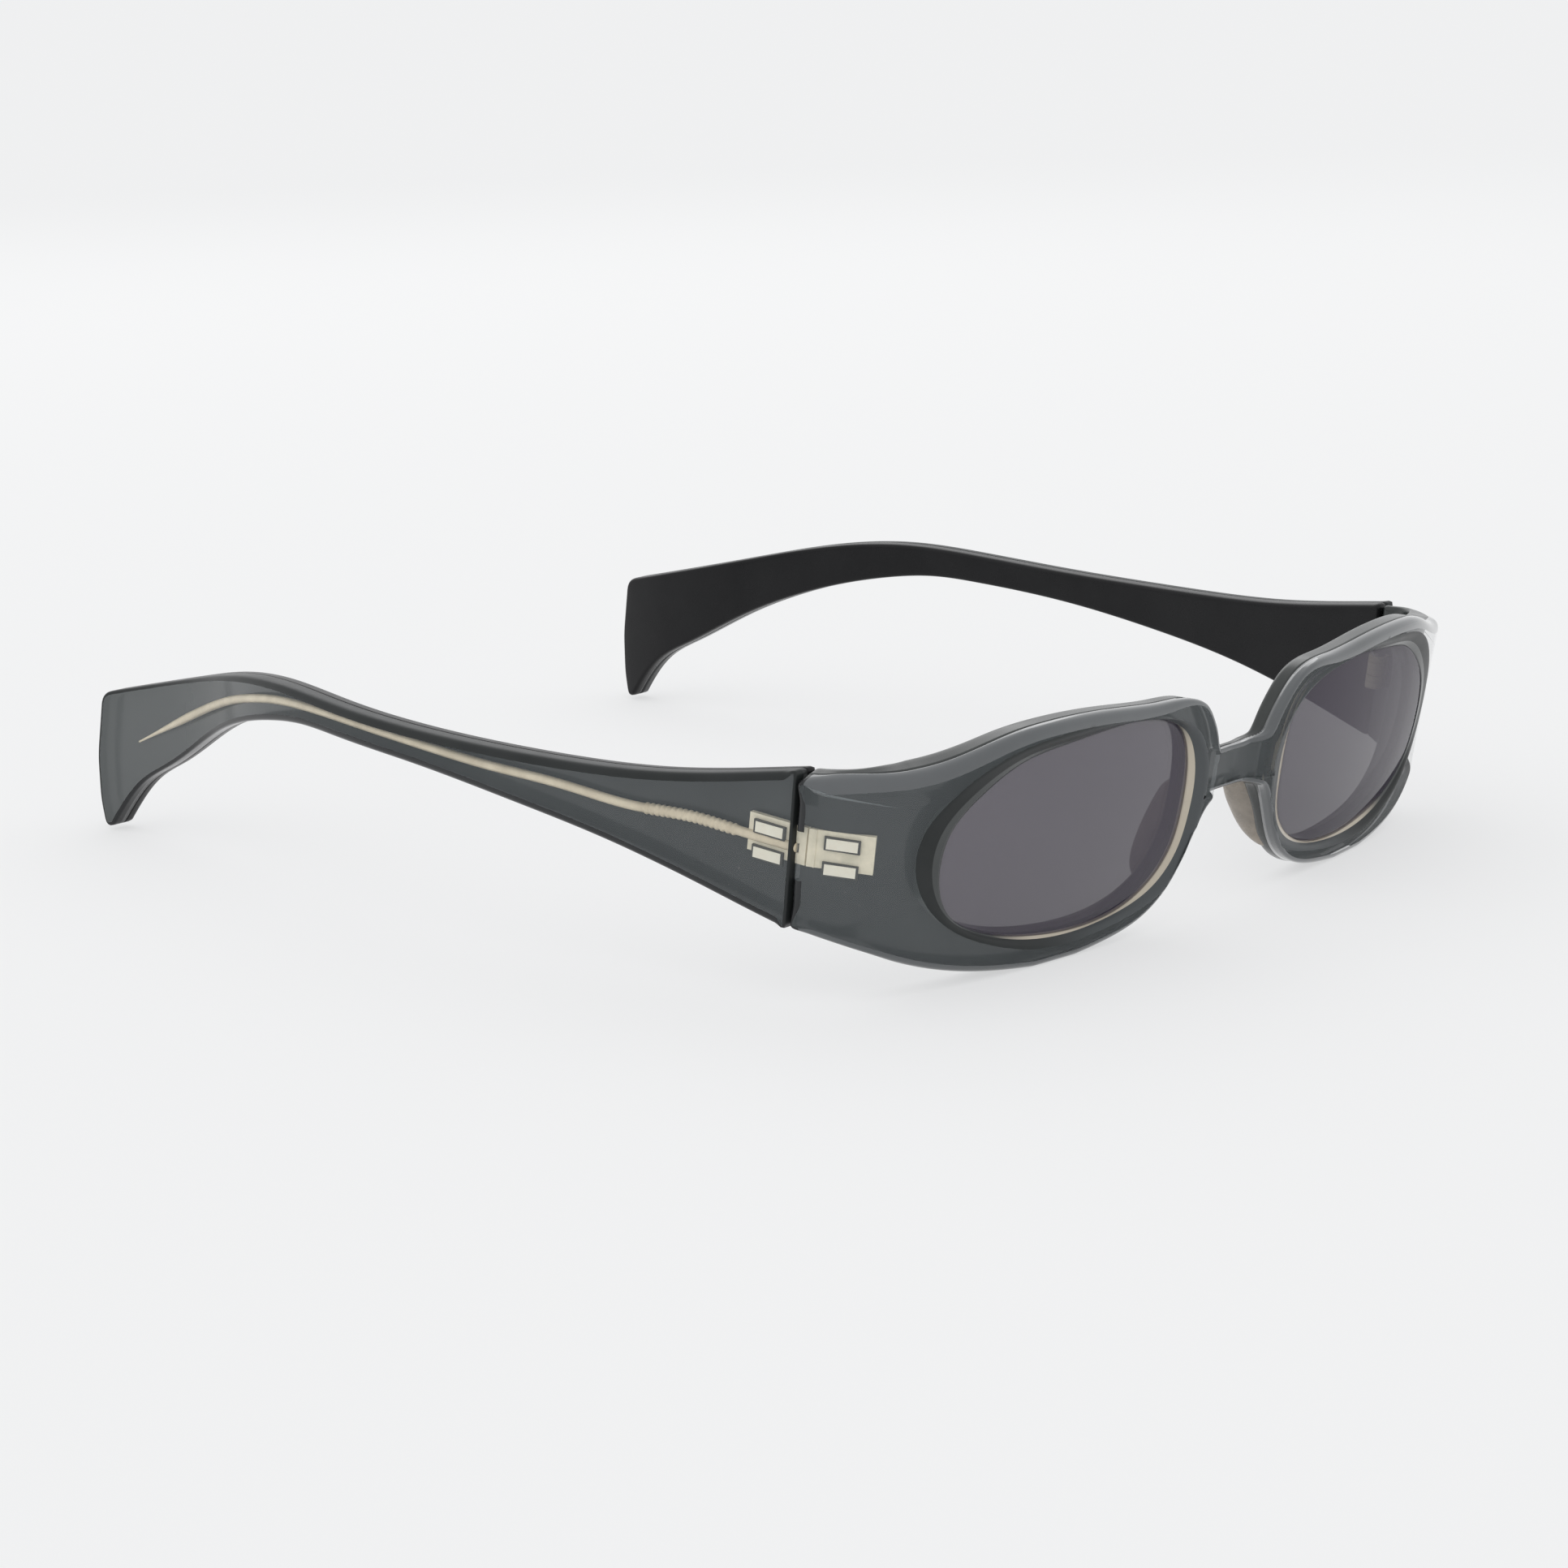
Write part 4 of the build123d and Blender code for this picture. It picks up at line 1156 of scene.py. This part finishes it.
outer_rows, bands = temple_rows(0.0, TEMPLE_OUTER - LAYER_GAP, OUTER_ROUND, 0.0)
outer_finishes = temple_finishes(bands)
inner_rows, _ = temple_rows(TEMPLE_OUTER, TEMPLE_DEPTH, 0.0, INNER_ROUND)
for side, flipped in (("left", False), ("right", True)):
    body = "temple_" + side
    shell = mesh_piece(
        "temple_outer_" + side, temple_grid(outer_rows), mirrored=flipped, finishes=outer_finishes
    )
    dress(shell, layer_finishes, body, "grey_acetate", "temple_outer_layer_" + side)
    lining = mesh_piece("temple_inner_" + side, temple_grid(inner_rows), mirrored=flipped)
    dress(lining, (black_acetate,), body, "black_acetate", "temple_inner_layer_" + side)
    wire = mesh_piece("wire_" + side, wire_grid(), mirrored=flipped)
    dress(wire, (wire_metal,), body, "hinge_metal", "core_wire_" + side)
    lens = mesh_piece("lens_" + side + "_polished", lens_grid(), mirrored=flipped)
    dress(lens, (lens_tint,), "front", "lens_tint", "lens_" + side)
    pad = mesh_piece("pad_" + side, pad_grid(), mirrored=flipped)
    dress(pad, (pad_acetate,), "front", "clear_smoke_acetate", "nose_pad_" + side)
    for node_name, finish in (
        ("front_hinge_leaf_", hinge_metal), ("temple_hinge_leaf_", hinge_metal),
        ("front_anchor_lugs_", lug_metal), ("temple_anchor_lugs_", lug_metal),
        ("hinge_screw_", screw_steel),
    ):
        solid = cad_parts[node_name + side]
        solid.data.materials.clear()
        solid.data.materials.append(finish)
    # Painted shadows round the lugs of both hinge leaves
    painted_lug_shadows("front_anchor_lugs_" + side, "front", FRONT_SHADOW_HEADING)
    painted_lug_shadows("temple_anchor_lugs_" + side, body, TEMPLE_SHADOW_HEADING)


# Camera
azimuth, elevation, roll = (math.radians(angle) for angle in CAMERA_TURN)
flat_back = Vector((math.sin(azimuth), -math.cos(azimuth), 0))
backward = flat_back * math.cos(elevation) + Vector((0, 0, math.sin(elevation)))
level_right = Vector((math.cos(azimuth), math.sin(azimuth), 0))
level_up = backward.cross(level_right)
right = level_right * math.cos(roll) + level_up * math.sin(roll)
upward = level_up * math.cos(roll) - level_right * math.sin(roll)
camera_data = bpy.data.cameras.new("camera")
camera_data.sensor_width = CAMERA_SENSOR
camera_data.lens = CAMERA_SENSOR * FOCAL_PIXELS / PICTURE_PIXELS
camera = placed("camera", camera_data)
turned = Matrix((right, upward, backward)).transposed().to_4x4()
camera.matrix_world = Matrix.Translation(CAMERA_PLACE) @ turned
bpy.context.scene.camera = camera

# Floor: part of what is seen of it is an even light, and the rest takes the shadow
corners = [(-1, -1, 0), (1, -1, 0), (1, 1, 0), (-1, 1, 0)]
floor_mesh = bpy.data.meshes.new("floor")
floor_mesh.from_pydata((np.array(corners) * FLOOR_HALF).tolist(), [], [(0, 1, 2, 3)])
floor = placed("floor", floor_mesh)
floor_finish, shader = finish_named("floor", (0.9, 0.9, 0.9), 0.9, specular=0.0)
seen = node(floor_finish, "LightPath")
pale = node(floor_finish, "Emission", Strength=1.0)
pale.inputs["Color"].default_value = FLOOR_LIGHT
any_ray = node(floor_finish, "Math", operation="MAXIMUM")
either = node(floor_finish, "Math", operation="MAXIMUM")
part = node(floor_finish, "Math", operation="MULTIPLY")
part.inputs[1].default_value = FLOOR_EVEN
blend = node(floor_finish, "MixShader")
surface = floor_finish.node_tree.nodes["Material Output"]
link(
    (seen, "Is Camera Ray", any_ray, 0),
    (seen, "Is Glossy Ray", any_ray, 1),
    (any_ray, "Value", either, 0),
    (seen, "Is Transmission Ray", either, 1),
    (either, "Value", part, 0),
    (part, "Value", blend, "Fac"),
    (shader, "BSDF", blend, 1),
    (pale, "Emission", blend, 2),
    (blend, "Shader", surface, "Surface"),
)
floor_mesh.materials.append(floor_finish)

# Light: a pale sky all round, and a window behind
world = bpy.data.worlds.new("studio")
bpy.context.scene.world = world
world.use_nodes = True
sky = world.node_tree.nodes["Background"]
sky.inputs["Color"].default_value = SKY_LIGHT
sky.inputs["Strength"].default_value = SKY_STRENGTH

window_data = bpy.data.lights.new("window", "AREA")
window_data.shape = "RECTANGLE"
window_data.size, window_data.size_y = WINDOW_SIZE
window_data.energy = WINDOW_POWER
window = placed("window", window_data)
window_turn = (-Vector(WINDOW_PLACE)).to_track_quat("-Z", "Y").to_matrix().to_4x4()
window.matrix_world = Matrix.Translation(WINDOW_PLACE) @ window_turn

bpy.context.scene.view_settings.view_transform = "Standard"
